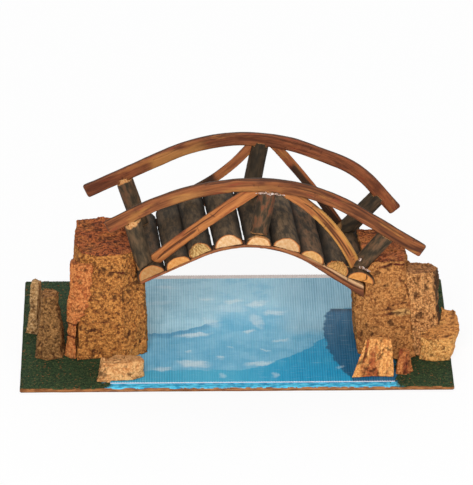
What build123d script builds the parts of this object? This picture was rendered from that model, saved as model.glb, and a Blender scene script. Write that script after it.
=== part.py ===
from build123d import *
import math
import os
from collections import namedtuple

# A craft model of a rustic footbridge: half-round logs on two bent stringers, with bent-twig
# handrails, between two cork-bark banks on a painted board.
# Millimetres. Origin at the middle of the board's underside, X along the bridge, front at -Y.

# Base board, and the ribbed sheet laid over its painted middle
board_width = 250.0
board_depth = 150.0
board_thick = 2.5
left_margin = 28.0
right_margin = 14.5
sheet_left = 73.0
sheet_right = 91.0
sheet_thick = 1.0
sheet_inset = 6.0
sheet_overhang = 5.0

# Arched stringers: the crown is where the underside is level
crown_x = 7.5
arch_clearance = 68.4
stringer_radius = 64.0
stringer_left_slope = 25.4
stringer_right_slope = 34.5
stringer_thick = 2.0
stringer_width = 8.0
stringer_inset = 1.0
stringer_top_radius = 78.0
stringer_top_slope = 30.5
stringer_tail = 11.5
stringer_lead = 0.5
deck_skew = 4.2
deck_setback = 6.0

# Half-round deck logs, from left to right
log_length = 77.0
log_width = 14.9
log_height = 6.6
log_gap = 1.5
log_jut = 1.2
log_taper_share = 0.94
king_station = 5.5
end_log_ease = 14.0
log_width_shares = (1.04, 1.01, 0.89, 1.06, 0.94, 1.06, 0.94, 0.91, 1.05)
log_rear_width_shares = (1.04, 1.00, 1.05, 1.09, 1.07, 1.03, 1.07, 1.07, 1.00)
log_height_shares = (1.08, 0.84, 1.20, 1.16, 0.92, 1.14, 0.86, 1.08, 0.88)
log_gap_shares = (1.10, 0.33, 1.45, 1.40, 0.93, 0.60, 1.80, 0.40)
log_jut_shares = (0.4, -0.6, 0.2, 0.7, -0.3, 0.5, -0.8, 0.3, 0.0)
log_count = len(log_width_shares)
king_log = log_count // 2 + 1

# Handrails: split sticks bent over the posts, with the flat face to the front
rail_thick = 8.6
rail_depth = 6.4
rail_edge_radius = 1.3
rail_end_chamfer = 0.8
front_rail_inset = 2.5
front_rail_shift = 3.1
front_rail_height = 37.9
front_rail_radius = 107.6
front_rail_left_radius = 143.0
front_rail_left_slope = 28.5
front_rail_left_run = 19.0
front_rail_right_slope = 33.1
front_rail_right_run = 46.0
rear_rail_inset = 12.5
rear_rail_shift = -2.1
rear_rail_height = 40.4
rear_rail_radius = 102.3
rear_rail_left_slope = 25.2
rear_rail_left_run = 54.5
rear_rail_right_slope = 22.8
rear_rail_right_run = 16.5
rear_rail_tail_radius = 55.8
rear_rail_tail_bend = 27.4
rear_rail_tail_run = 21.0

# Posts: half-round, bark to the front, coped over a log and under a rail
post_width = 10.6
post_thick = 6.6
post_tuck = 2.0
post_sink_share = 0.45
post_foot_inset = 5.2
post_head_offset = 2.6
# Each post: its log, then shares of the log's width from its middle, of the rail's radius,
# and of the foot's inset
front_post_shares = (
    ("front_left_post", 1, -0.13, -0.696, 1.0),
    ("front_king_post", king_log, 0.03, 0.081, 1.0),
    ("front_right_post", log_count, -0.15, 0.800, 1.7),
)
rear_post_shares = (
    ("rear_left_post", 1, 0.0, -0.741, 1.0),
    ("rear_king_post", king_log, 0.0, 0.102, 1.0),
    ("rear_right_post", log_count, -0.30, 0.900, 1.0),
)

# Braces: split twigs with the flat face to the front
brace_width = 5.8
front_left_brace_width = 7.6
brace_thick = 3.6
brace_sink_share = 0.5
front_left_brace_bow = 1.2
front_right_brace_bow = -7.4
rear_left_brace_bow = -8.5
rear_right_brace_bow = -1.5
front_left_brace_inset = 4.5
front_right_brace_inset = 6.0
front_left_brace_lift = 2.9
rear_left_brace_lift = 13.0
front_left_brace_offset_share = 0.27
front_left_brace_station_share = 0.045
front_right_brace_offset_share = -0.10
front_right_brace_station_share = 0.093
rear_left_brace_offset_share = 0.05
rear_left_brace_station_share = 0.075
rear_right_brace_offset_share = -0.24
rear_right_brace_station_share = 0.151

# Cork banks: sizes of each chunk, then its outlines in shares of its width and depth
bed_clear = 0.5
chunk_fall = 1.5
left_block_depth = 82.0
left_block_height = 65.0
left_block_lap = 4.8
left_block_jut = 6.5
left_block_fall = 4.0
right_block_depth = 82.0
right_block_height = 60.5
right_block_lap = 3.7
right_block_jut = 8.5
right_block_fall = 6.0
right_block_cling = 4.5
slab_width = 21.0
slab_depth = 15.0
slab_height = 60.0
boulder_width = 21.0
boulder_depth = 30.0
boulder_height = 38.0
shard_width = 11.0
shard_depth = 15.0
shard_height = 33.0
left_chip_width = 28.0
left_chip_depth = 19.0
left_chip_height = 11.5
bark_width = 23.0
bark_depth = 40.0
bark_height = 52.0
bark_fall = 6.0
step_width = 27.0
step_depth = 40.0
step_height = 26.0
step_fall = -12.0
right_chip_width = 25.0
right_chip_depth = 16.0
right_chip_height = 22.0
back_chip_width = 11.0
back_chip_depth = 13.0
back_chip_height = 14.0
overrun = 20.0
left_block_foot_shares = (
    (0.00, 0.12), (0.30, 0.00), (0.62, 0.05), (0.90, 0.02), (1.00, 0.28),
    (0.97, 0.85), (0.70, 1.00), (0.18, 0.97), (0.02, 0.60),
)
left_block_head_shares = (
    (0.05, 0.22), (0.32, 0.11), (0.62, 0.09), (0.86, 0.16), (0.95, 0.36),
    (0.92, 0.80), (0.66, 0.86), (0.20, 0.84), (0.04, 0.60),
)
right_block_foot_shares = (
    (0.00, 0.10), (0.35, 0.00), (0.85, 0.06), (1.00, 0.30),
    (0.95, 0.85), (0.60, 1.00), (0.10, 0.96), (-0.03, 0.50),
)
right_block_head_shares = (
    (-0.14, 0.20), (0.35, 0.13), (0.68, 0.13), (0.72, 0.38),
    (0.62, 0.76), (0.40, 0.83), (-0.12, 0.82), (-0.14, 0.50),
)
slab_foot_shares = ((0.00, 0.30), (0.20, 0.00), (0.90, 0.08), (1.00, 0.80), (0.60, 1.00), (0.05, 0.90))
slab_head_shares = ((0.16, 0.40), (0.32, 0.20), (0.88, 0.26), (0.95, 0.85), (0.60, 1.00), (0.20, 0.95))
boulder_foot_shares = ((0.10, 0.15), (0.45, 0.00), (0.90, 0.12), (1.00, 0.60), (0.70, 1.00), (0.15, 0.85))
boulder_head_shares = ((0.30, 0.30), (0.50, 0.22), (0.75, 0.30), (0.80, 0.60), (0.60, 0.80), (0.30, 0.70))
shard_foot_shares = ((0.00, 0.20), (0.60, 0.00), (1.00, 0.50), (0.70, 1.00), (0.10, 0.90))
shard_head_shares = ((0.35, 0.35), (0.70, 0.30), (0.85, 0.55), (0.65, 0.75), (0.40, 0.65))
left_chip_foot_shares = (
    (0.00, 0.12), (0.35, 0.00), (0.75, 0.06), (1.00, 0.35), (0.95, 0.90), (0.40, 1.00), (0.05, 0.75),
)
left_chip_head_shares = (
    (0.10, 0.30), (0.38, 0.22), (0.75, 0.25), (0.97, 0.42), (0.90, 0.85), (0.40, 0.90), (0.10, 0.70),
)
bark_foot_shares = (
    (0.00, 0.06), (0.55, 0.00), (0.90, 0.14), (1.00, 0.48), (0.92, 0.82), (0.55, 1.00), (0.00, 0.90),
)
bark_head_shares = (
    (-0.10, 0.22), (0.34, 0.16), (0.66, 0.26), (0.80, 0.48), (0.70, 0.70), (0.40, 0.82), (-0.10, 0.76),
)
step_foot_shares = ((0.05, 0.12), (0.34, 0.04), (0.70, 0.08), (0.80, 0.34), (0.78, 0.95), (0.10, 0.95))
step_head_shares = ((0.05, 0.10), (0.34, 0.02), (0.86, 0.02), (1.03, 0.20), (0.90, 0.62), (0.10, 0.90))
right_chip_foot_shares = ((0.00, 0.05), (0.50, 0.15), (0.98, 0.10), (1.00, 0.50), (0.50, 0.60), (0.08, 0.50))
right_chip_head_shares = ((0.12, 0.75), (0.50, 0.85), (0.95, 0.80), (0.90, 1.05), (0.50, 1.15), (0.30, 1.05))
back_chip_foot_shares = ((0.05, 0.10), (0.60, 0.00), (1.00, 0.40), (0.80, 1.00), (0.10, 0.90))
back_chip_head_shares = ((0.20, 0.35), (0.60, 0.30), (0.85, 0.50), (0.70, 0.85), (0.25, 0.80))

# Places of the smaller chunks: how far out from their block's outer side, in from its inner side,
# back from its front, and in from the board's front edge
slab_out = 3.0
slab_back = 4.0
boulder_out = 22.5
boulder_back = 1.5
shard_out = 26.0
shard_back = 37.0
left_chip_in = 30.0
left_chip_inset = 6.8
bark_out = -11.5
bark_back = 5.0
step_out = -5.5
step_back = -3.0
right_chip_in = -4.5
right_chip_inset = 8.2
back_chip_in = 19.2
back_chip_inset = 15.0

half_turn_angle = 180
board_top = board_thick
deck_front = deck_setback - log_length / 2
deck_rear = deck_front + log_length
board_front = -board_depth / 2
board_rear = board_depth / 2
front_rail_y = deck_front + front_rail_inset
rear_rail_y = deck_rear - rear_rail_inset
crown_under = board_top + arch_clearance
crown_top = crown_under + stringer_thick
across = Vector(-math.sin(math.radians(deck_skew)), math.cos(math.radians(deck_skew)), 0)

# An arch falls away from its crown on both sides.
# Each bend is a radius, the angle it turns through, and the straight run after it.
Arch = namedtuple("Arch", "crown_x crown_z left right")


def along(arch, distance):
    """The point at a signed distance from the crown, and the slope there, down to the right."""
    bends = arch.right if distance >= 0 else arch.left
    side = 1 if distance >= 0 else -1
    total = sum(angle for radius, angle, run in bends)
    reach, drop, slope = 0, 0, 0
    remaining = abs(distance)
    for radius, angle, run in bends:
        turn = min(math.degrees(remaining / radius), angle)
        start = math.radians(slope)
        slope += turn
        end = math.radians(slope)
        reach += radius * (math.sin(end) - math.sin(start))
        drop += radius * (math.cos(start) - math.cos(end))
        remaining -= radius * math.radians(turn)
        straight = min(remaining, run) if slope < total else remaining
        reach += straight * math.cos(end)
        drop += straight * math.sin(end)
        remaining -= straight
    return arch.crown_x + side * reach, arch.crown_z - drop, side * slope


def knots(bends):
    """Distances from the crown at which arcs and straight runs end."""
    marks = []
    walked = 0
    for radius, angle, run in bends:
        walked += radius * math.radians(angle)
        marks.append(walked)
        walked += run
        marks.append(walked)
    return marks


def arch_edges(arch):
    """Draw the arch from its left end to its right end in the active line builder."""
    stations = [-mark for mark in reversed(knots(arch.left))] + [0] + knots(arch.right)
    for first, last in zip(stations, stations[1:]):
        start = along(arch, first)
        middle = along(arch, (first + last) / 2)
        end = along(arch, last)
        if math.isclose(start[2], end[2], abs_tol=1e-6):
            Line(start[:2], end[:2])
        else:
            ThreePointArc(start[:2], middle[:2], end[:2])


def upright(depth):
    """A drawing plane facing the front at the given depth."""
    return Plane(origin=(0, depth, 0), x_dir=(1, 0, 0), z_dir=(0, -1, 0))


def shifted(x, depth):
    """Where a point of the deck's front lies at another depth, along the skew."""
    return x - math.tan(math.radians(deck_skew)) * (depth - deck_front)


def skewed(depth):
    """A drawing plane for the deck's front view, moved along the skew to the given depth."""
    return Plane(origin=(shifted(0, depth), depth, 0), x_dir=(1, 0, 0), z_dir=(0, -1, 0))


def arch_end(arch, side):
    """The end point of an arch: -1 for the left end, 1 for the right."""
    return along(arch, side * knots(arch.left if side < 0 else arch.right)[-1])[:2]


# Widths and places of the logs along the stringers' top, measured from the crown
log_widths = [log_width * share for share in log_width_shares]
log_heights = [log_height * share for share in log_height_shares]
log_steps = [
    (log_widths[i] + log_widths[i + 1]) / 2 + log_gap * log_gap_shares[i] for i in range(log_count - 1)
]
first_station = king_station - sum(log_steps[: king_log - 1])
log_stations = [first_station + sum(log_steps[:i]) for i in range(log_count)]

left_end = -log_stations[0] + log_widths[0] / 2 + stringer_lead
right_end = log_stations[-1] - log_widths[-1] / 2 + stringer_tail
left_top_radius = stringer_radius + stringer_thick
left_run = left_end - left_top_radius * math.radians(stringer_left_slope)
right_run = right_end - stringer_top_radius * math.radians(stringer_top_slope)
top_line = Arch(
    crown_x,
    crown_top,
    ((left_top_radius, stringer_left_slope, left_run),),
    ((stringer_top_radius, stringer_top_slope, right_run),),
)
tail_x = along(top_line, right_end)[0]
under_fall_x = crown_x + stringer_radius * math.sin(math.radians(stringer_right_slope))
under_run = (tail_x - under_fall_x) / math.cos(math.radians(stringer_right_slope))
under_line = Arch(
    crown_x,
    crown_under,
    ((stringer_radius, stringer_left_slope, left_run),),
    ((stringer_radius, stringer_right_slope, under_run),),
)
front_rail = Arch(
    crown_x + front_rail_shift,
    crown_top + front_rail_height,
    ((front_rail_left_radius, front_rail_left_slope, front_rail_left_run),),
    ((front_rail_radius, front_rail_right_slope, front_rail_right_run),),
)
rear_rail = Arch(
    crown_x + rear_rail_shift,
    crown_top + rear_rail_height,
    ((rear_rail_radius, rear_rail_left_slope, rear_rail_left_run),),
    (
        (rear_rail_radius, rear_rail_right_slope, rear_rail_right_run),
        (rear_rail_tail_radius, rear_rail_tail_bend, rear_rail_tail_run),
    ),
)


def log_seat(number):
    """Middle of a log's flat underside on the deck's front, and its slope down to the right."""
    i = number - 1
    x, z, slope = along(top_line, log_stations[i])
    if number == log_count:
        # The last log leans back from the stringer, from its left foot onto the cork
        half = log_widths[i] / 2
        steep = math.radians(slope)
        eased = math.radians(slope - end_log_ease)
        x += half * (math.cos(eased) - math.cos(steep))
        z += half * (math.sin(steep) - math.sin(eased))
        slope -= end_log_ease
    return x, z, slope


def log_point(number, offset, lift, depth):
    """A point over a log: offset along the deck from its middle, lifted off its flat side."""
    x, z, slope = log_seat(number)
    angle = math.radians(slope)
    x += offset * math.cos(angle) + lift * math.sin(angle)
    z += lift * math.cos(angle) - offset * math.sin(angle)
    return Vector(shifted(x, depth), depth, z)


def half_round(width, height):
    """A flat edge with half an ellipse over it, as a face in the active sketch."""
    with BuildLine() as outline:
        EllipticalCenterArc((0, 0), width / 2, height, start_angle=0, arc_size=half_turn_angle)
        Line((-width / 2, 0), (width / 2, 0))
    make_face(outline.edges())


# The two banks' blocks reach from the ends of the deck to the margins of the board
left_top_end = arch_end(top_line, -1)
left_inner = left_top_end[0] + left_block_lap
left_outer = left_margin - board_width / 2
left_front = deck_front - left_block_jut
right_inner = tail_x - right_block_lap
right_outer = board_width / 2 - right_margin
right_front = deck_front - right_block_jut

pieces = {}


# Base board with the sheet on it
def flat_sheet(level, left, front, right, rear, thick):
    with BuildPart() as flat:
        with BuildSketch(Plane.XY.offset(level)):
            with Locations((left, front)):
                Rectangle(right - left, rear - front, align=(Align.MIN, Align.MIN))
        extrude(amount=thick)
    return flat


base_board = flat_sheet(0, -board_width / 2, board_front, board_width / 2, board_rear, board_thick)
water_sheet = flat_sheet(
    board_top, -sheet_left, board_front + sheet_inset, sheet_right, board_rear + sheet_overhang, sheet_thick,
)
pieces["base_board"] = base_board
pieces["water_sheet"] = water_sheet


# Stringers: bent split sticks that thicken to the right
def stringer(depth):
    with BuildPart() as stick:
        with BuildSketch(skewed(depth)):
            with BuildLine():
                arch_edges(top_line)
                arch_edges(under_line)
                Line(arch_end(top_line, -1), arch_end(under_line, -1))
                Line(arch_end(top_line, 1), arch_end(under_line, 1))
            make_face()
        extrude(amount=stringer_width / across.Y, dir=across)
    return stick


pieces["front_stringer"] = stringer(deck_front + stringer_inset)
pieces["rear_stringer"] = stringer(deck_rear - stringer_inset - stringer_width)


# Deck logs: half-round, flat side down, a little lower at the back
def deck_log(number):
    i = number - 1
    x, z, slope = log_seat(number)
    angle = math.radians(slope)
    front = deck_front + log_jut * log_jut_shares[i]
    rear = deck_rear + log_jut * log_jut_shares[-number]
    with BuildPart() as log:
        for depth, wide, tall in ((front, 1, 1), (rear, log_rear_width_shares[i], log_taper_share)):
            face = Plane(
                origin=(shifted(x, depth), depth, z),
                x_dir=(math.cos(angle), 0, -math.sin(angle)),
                z_dir=(0, -1, 0),
            )
            with BuildSketch(face):
                half_round(log_widths[i] * wide, log_heights[i] * tall)
        loft()
    return log


log_names = [f"deck_log_{number}" for number in range(1, log_count + 1)]
for number, name in enumerate(log_names, start=1):
    pieces[name] = deck_log(number)


# Handrails: half-round sticks swept along their bends, with softened edges
def handrail(arch, depth):
    with BuildPart() as rail:
        with BuildLine(upright(depth - rail_depth / 2)) as bend:
            arch_edges(arch)
        tangent = bend.line % 0
        across_grain = (tangent.Z, 0, -tangent.X)
        with BuildSketch(Plane(origin=bend.line @ 0, x_dir=across_grain, z_dir=tangent)) as section:
            half_round(rail_thick, rail_depth)
            fillet(section.vertices(), radius=rail_edge_radius)
        sweep(path=bend.wire())
        chamfer(rail.faces().filter_by(GeomType.PLANE).edges(), length=rail_end_chamfer)
    return rail


pieces["front_handrail"] = handrail(front_rail, front_rail_y)
pieces["rear_handrail"] = handrail(rear_rail, rear_rail_y)


# Posts: coped over their log and under their rail
def trimmed(stick, neighbours):
    with BuildPart() as cut:
        add(stick.part)
        for name in neighbours:
            add(pieces[name].part, mode=Mode.SUBTRACT)
    return largest(cut)


def largest(cut):
    with BuildPart() as whole:
        add(cut.solids().sort_by(SortBy.VOLUME)[-1])
    return whole


def post(log_number, offset, foot_y, arch, station, head_y, rail):
    foot = log_point(log_number, offset, log_heights[log_number - 1] * post_sink_share, foot_y)
    head_x, head_z = along(arch, station)[:2]
    axis = Vector(head_x, head_y, head_z) - foot
    with BuildPart() as stick:
        with BuildSketch(Plane(origin=foot, x_dir=(-1, 0, 0), z_dir=axis)):
            half_round(post_width, post_thick)
        extrude(amount=axis.length - rail_thick / 2 + post_tuck)
    return trimmed(stick, [*log_names, rail])


front_head_y = front_rail_y + post_head_offset
rear_head_y = rear_rail_y + post_head_offset
for name, log_number, offset_share, station_share, inset_share in front_post_shares:
    pieces[name] = post(
        log_number,
        offset_share * log_width,
        deck_front + post_foot_inset * inset_share + post_thick / 2,
        front_rail,
        station_share * front_rail_radius,
        front_head_y,
        "front_handrail",
    )
for name, log_number, offset_share, station_share, inset_share in rear_post_shares:
    pieces[name] = post(
        log_number,
        offset_share * log_width,
        rear_rail_y - post_foot_inset * inset_share + post_thick / 2,
        rear_rail,
        station_share * rear_rail_radius,
        rear_head_y,
        "rear_handrail",
    )


# Braces: from a log or an end post up to the corner between king post and rail
def brace(log_number, offset, lift, foot_y, arch, station, head_y, width, bow, neighbours):
    foot = log_point(log_number, offset, log_heights[log_number - 1] * brace_sink_share + lift, foot_y)
    head_x, head_z = along(arch, station)[:2]
    reach = Vector(head_x, head_y, head_z) - foot
    forward = Vector(0, -1, 0)
    lean = Plane(origin=foot, x_dir=reach, z_dir=forward - reach * (forward.dot(reach) / reach.dot(reach)))
    with BuildPart() as stick:
        with BuildLine(lean) as bend:
            SagittaArc((0, 0), (reach.length, 0), bow)
        tangent = bend.line % 0
        with BuildSketch(Plane(origin=foot, x_dir=tangent.cross(lean.z_dir), z_dir=tangent)):
            half_round(width, brace_thick)
        sweep(path=bend.wire())
    return trimmed(stick, [*log_names, *neighbours])


front_brace_y = front_rail_y - brace_thick / 2
rear_brace_y = rear_rail_y - brace_thick / 2
pieces["front_left_brace"] = brace(
    1,
    front_left_brace_offset_share * log_width,
    front_left_brace_lift,
    front_brace_y + front_left_brace_inset,
    front_rail,
    front_left_brace_station_share * front_rail_radius,
    front_brace_y,
    front_left_brace_width,
    front_left_brace_bow,
    ("front_handrail", "front_left_post", "front_king_post"),
)
pieces["front_right_brace"] = brace(
    log_count,
    front_right_brace_offset_share * log_width,
    0,
    front_brace_y + front_right_brace_inset,
    front_rail,
    front_right_brace_station_share * front_rail_radius,
    front_brace_y,
    brace_width,
    front_right_brace_bow,
    ("front_handrail", "front_right_post", "front_king_post"),
)
pieces["rear_left_brace"] = brace(
    1,
    rear_left_brace_offset_share * log_width,
    rear_left_brace_lift,
    rear_brace_y,
    rear_rail,
    rear_left_brace_station_share * rear_rail_radius,
    rear_brace_y,
    brace_width,
    rear_left_brace_bow,
    ("rear_handrail", "rear_left_post", "rear_king_post"),
)
pieces["rear_right_brace"] = brace(
    log_count,
    rear_right_brace_offset_share * log_width,
    0,
    rear_brace_y,
    rear_rail,
    rear_right_brace_station_share * rear_rail_radius,
    rear_brace_y,
    brace_width,
    rear_right_brace_bow,
    ("rear_handrail", "rear_right_post", "rear_king_post"),
)


# Cork chunks: lofted from a foot outline to a head outline, in shares of width and depth
def chunk(x, y, width, depth, height, foot_shares, head_shares, fall, beside):
    with BuildPart() as cork:
        for level, shares in ((0, foot_shares), (height, head_shares)):
            with BuildSketch(Plane(origin=(x, y, board_top + level))):
                Polygon(*[(width * u, depth * v) for u, v in shares], align=None)
        loft(ruled=True)
        high_y = y if fall > 0 else y + depth
        split(bisect_by=Plane((x, high_y, board_top + height), z_dir=(0, fall, depth)), keep=Keep.BOTTOM)
        for neighbour in beside:
            add(neighbour.part, mode=Mode.SUBTRACT)
    return largest(cork)


# The space that an end of the deck takes out of its bank, up through the bank's top
def deck_bed(seat):
    roof = crown_top + overrun
    inner_x = seat[0][0]
    wall_x = seat[-1][0]
    with BuildPart() as bed:
        with BuildSketch(skewed(deck_front - overrun)):
            with BuildLine():
                Polyline(*seat, (wall_x, roof), (inner_x, roof), close=True)
            make_face()
        extrude(amount=(log_length + overrun + overrun) / across.Y, dir=across)
    return bed


left_bed = deck_bed(
    (
        along(under_line, overrun - left_end)[:2],
        arch_end(under_line, -1),
        left_top_end,
        (left_top_end[0] - bed_clear, left_top_end[1]),
    ),
)
# On the right the cork closes round the outer shoulder of the last log
right_foot = log_point(log_count, log_widths[-1] / 2, 0, deck_front)
right_low = arch_end(under_line, 1)
right_wall = max(right_foot.X - right_block_cling, right_low[0] + bed_clear)
shelf_fall = math.tan(math.radians(log_seat(log_count)[2]))
right_bed = deck_bed(
    (
        along(under_line, right_end - overrun)[:2],
        right_low,
        (right_low[0], right_foot.Z + (right_foot.X - right_low[0]) * shelf_fall),
        (right_wall, right_foot.Z + (right_foot.X - right_wall) * shelf_fall),
    ),
)
last_log = pieces[log_names[-1]]

left_posts = (pieces["front_left_post"], pieces["rear_left_post"])
right_posts = (pieces["front_right_post"], pieces["rear_right_post"])
pieces["left_bank_block"] = chunk(
    left_inner,
    left_front,
    left_outer - left_inner,
    left_block_depth,
    left_block_height,
    left_block_foot_shares,
    left_block_head_shares,
    left_block_fall,
    (left_bed, water_sheet, *left_posts),
)
pieces["right_bank_block"] = chunk(
    right_inner,
    right_front,
    right_outer - right_inner,
    right_block_depth,
    right_block_height,
    right_block_foot_shares,
    right_block_head_shares,
    right_block_fall,
    (right_bed, last_log, water_sheet, *right_posts),
)


# Smaller cork pieces round the feet of the banks, each fitted to the ones before it
def small_chunk(name, x, y, width, depth, height, foot_shares, head_shares, fall):
    earlier = [pieces[other] for other in pieces if "bank" in other or "post" in other]
    beside = (water_sheet, left_bed, right_bed, last_log, *earlier)
    pieces[name] = chunk(x, y, width, depth, height, foot_shares, head_shares, fall, beside)


small_chunk(
    "left_bank_slab", left_outer - slab_out, left_front + slab_back,
    slab_width, slab_depth, slab_height, slab_foot_shares, slab_head_shares, chunk_fall,
)
small_chunk(
    "left_bank_boulder", left_outer - boulder_out, left_front + boulder_back,
    boulder_width, boulder_depth, boulder_height, boulder_foot_shares, boulder_head_shares, chunk_fall,
)
small_chunk(
    "left_bank_shard", left_outer - shard_out, left_front + shard_back,
    shard_width, shard_depth, shard_height, shard_foot_shares, shard_head_shares, chunk_fall,
)
small_chunk(
    "left_bank_chip", left_inner - left_chip_in, board_front + left_chip_inset,
    left_chip_width, left_chip_depth, left_chip_height,
    left_chip_foot_shares, left_chip_head_shares, chunk_fall,
)
small_chunk(
    "right_bank_bark", right_outer + bark_out, right_front + bark_back,
    bark_width, bark_depth, bark_height, bark_foot_shares, bark_head_shares, bark_fall,
)
small_chunk(
    "right_bank_step", right_outer + step_out, right_front + step_back,
    step_width, step_depth, step_height, step_foot_shares, step_head_shares, step_fall,
)
small_chunk(
    "right_bank_chip", right_inner + right_chip_in, board_front + right_chip_inset,
    right_chip_width, right_chip_depth, right_chip_height,
    right_chip_foot_shares, right_chip_head_shares, chunk_fall,
)
small_chunk(
    "right_bank_back_chip", right_outer - back_chip_in, board_front + back_chip_inset,
    back_chip_width, back_chip_depth, back_chip_height,
    back_chip_foot_shares, back_chip_head_shares, chunk_fall,
)

os.makedirs("parts", exist_ok=True)
for name, piece in pieces.items():
    piece.part.label = name
    export_step(piece.part, f"parts/{name}.step")
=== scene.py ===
import math
from itertools import product

import bmesh
import bpy
import numpy as np
from mathutils import Matrix, Vector


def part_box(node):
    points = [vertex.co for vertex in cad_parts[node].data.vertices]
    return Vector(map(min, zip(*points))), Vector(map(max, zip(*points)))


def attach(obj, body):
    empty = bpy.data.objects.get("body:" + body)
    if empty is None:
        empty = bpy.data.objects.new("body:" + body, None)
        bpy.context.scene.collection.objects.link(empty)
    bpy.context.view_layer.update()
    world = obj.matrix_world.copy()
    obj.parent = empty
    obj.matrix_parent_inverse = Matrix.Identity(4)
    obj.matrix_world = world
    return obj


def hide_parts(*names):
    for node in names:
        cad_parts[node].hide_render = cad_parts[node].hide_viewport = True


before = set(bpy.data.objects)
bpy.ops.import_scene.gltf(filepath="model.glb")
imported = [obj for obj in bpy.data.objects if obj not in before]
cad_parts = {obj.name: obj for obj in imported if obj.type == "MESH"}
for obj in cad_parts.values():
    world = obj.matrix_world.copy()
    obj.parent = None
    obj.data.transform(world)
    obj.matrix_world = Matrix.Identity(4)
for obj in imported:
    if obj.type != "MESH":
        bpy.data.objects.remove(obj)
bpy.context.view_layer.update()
mm = 0.001


def paint(red, green, blue):  # a colour as seen on screen, 0 to 255, for a shader socket
    shares = [c / 255 for c in (red, green, blue)]
    return (*[s / 12.92 if s < 0.04045 else ((s + 0.055) / 1.055) ** 2.4 for s in shares], 1.0)


# Repeatable noise over points, for carving the meshes
def dice(cells, seed):
    key = cells @ np.array((374761393, 668265263, 1442695041)) + seed * 1274126177 & 0xFFFFFFFF
    key = (key ^ key >> 13) * 1274126177 & 0xFFFFFFFF
    key = (key ^ key >> 16) * 2246822519 & 0xFFFFFFFF
    return ((key ^ key >> 15) & 0xFFFFFF) / 0xFFFFFF


def cloud(points, size, seed):  # smooth, -1 to 1, one swell per size
    p = points / size
    base = np.floor(p).astype(np.int64)
    f = p - base
    f = f * f * (3 - 2 * f)
    total = np.zeros(len(p))
    for corner in product((0, 1), repeat=3):
        weight = np.prod(np.where(corner, f, 1 - f), axis=1)
        total += weight * dice(base + corner, seed)
    return total * 2 - 1


def swells(points, size, seed, count=3):  # clouds on clouds, each half as large
    return sum(cloud(points, size / 2**n, seed + n) / 2**n for n in range(count)) / 1.5


def crumbs(points, size, seed):  # gap to the nearest crumb, in sizes, and that crumb's own value
    p = points / size
    base = np.floor(p).astype(np.int64)
    nearest = np.full(len(p), 9.0)
    own = np.zeros(len(p))
    for offset in product((-1, 0, 1), repeat=3):
        cell = base + offset
        heart = cell + np.stack([dice(cell, seed + n) for n in range(3)], axis=1)
        gap = np.linalg.norm(p - heart, axis=1)
        own = np.where(gap < nearest, dice(cell, seed + 5), own)
        nearest = np.minimum(nearest, gap)
    return nearest, own


def ramp(values, low, high):  # smooth step from 0 at low to 1 at high
    t = np.clip((values - low) / (high - low), 0, 1)
    return t * t * (3 - 2 * t)


def spot(points, middle, sizes, seed):  # 1 in a ragged lump of space and 0 outside, in millimetres
    away = np.linalg.norm((points / mm - np.array(middle)) / np.array(sizes), axis=1)
    return ramp(away + 0.3 * swells(points, 3.5 * mm, seed), 1.15, 0.75)


def between(values, start, stop, soft):  # 1 from start to stop, with soft edges
    return ramp(values, start - soft, start + soft) * ramp(values, stop + soft, stop - soft)


def band(share, across, limits):  # 1 between two shares of the length and two of the half width
    start, stop, bottom, top = limits
    return between(share, start, stop, 0.03) * between(across, bottom, top, 0.15)


# Meshes: the solid's own shape, cut fine enough to carve
def places(mesh):
    co = np.empty(len(mesh.vertices) * 3, np.float32)
    mesh.vertices.foreach_get("co", co)
    return co.reshape(-1, 3).astype(float)


def facings(mesh):
    normals = np.empty(len(mesh.vertices) * 3, np.float32)
    mesh.vertex_normals.foreach_get("vector", normals)
    return normals.reshape(-1, 3).astype(float)


def moved(mesh, co):
    mesh.vertices.foreach_set("co", co.astype(np.float32).ravel())
    mesh.update()


def mark(mesh, **marks):  # one number, or three, kept on each point for the shaders
    for name, values in marks.items():
        values = np.asarray(values, np.float32)
        kind, field = ("FLOAT_VECTOR", "vector") if values.ndim == 2 else ("FLOAT", "value")
        mesh.attributes.new(name, kind, "POINT").data.foreach_set(field, values.ravel())


def newPiece(name, mesh):
    piece = bpy.data.objects.new(name, mesh)
    bpy.context.scene.collection.objects.link(piece)
    return piece


def carved(node, voxel, soften):  # a fine even copy of a node, with its points and where they face
    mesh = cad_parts[node].data.copy()
    mesh.materials.clear()
    shape = bmesh.new()
    shape.from_mesh(mesh)
    bmesh.ops.remove_doubles(shape, verts=shape.verts, dist=0.01 * mm)
    shape.to_mesh(mesh)
    shape.free()
    piece = newPiece(node + "_look", mesh)
    cut = piece.modifiers.new("voxels", "REMESH")
    cut.mode = "VOXEL"
    cut.voxel_size = voxel
    rounded = piece.modifiers.new("soften", "SMOOTH")
    rounded.factor = 0.5
    rounded.iterations = soften
    fine = bpy.data.meshes.new_from_object(piece.evaluated_get(bpy.context.evaluated_depsgraph_get()))
    piece.modifiers.clear()
    piece.data = fine
    if "custom_normal" in fine.attributes:
        fine.attributes.remove(fine.attributes["custom_normal"])
    return piece, fine, places(fine), facings(fine)


def settle(piece, material, slot, *nodes):  # smooth shading, finish, and the node that it stands for
    piece.data.materials.clear()
    piece.data.materials.append(material)
    piece.data.shade_smooth()
    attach(piece, "root")
    if nodes:
        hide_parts(*nodes)
    return piece


# Shader building
def put(tree, kind, inputs=None, **settings):
    made = tree.nodes.new(kind)
    for name, value in settings.items():
        setattr(made, name, value)
    for name, value in (inputs or {}).items():
        if isinstance(value, bpy.types.NodeSocket):
            tree.links.new(value, made.inputs[name])
        else:
            made.inputs[name].default_value = value
    return made


def blend(tree, factor, first, second, way="MIX"):
    sockets = {0: factor, 6: first, 7: second}
    return put(tree, "ShaderNodeMix", sockets, data_type="RGBA", blend_type=way).outputs[2]


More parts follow.
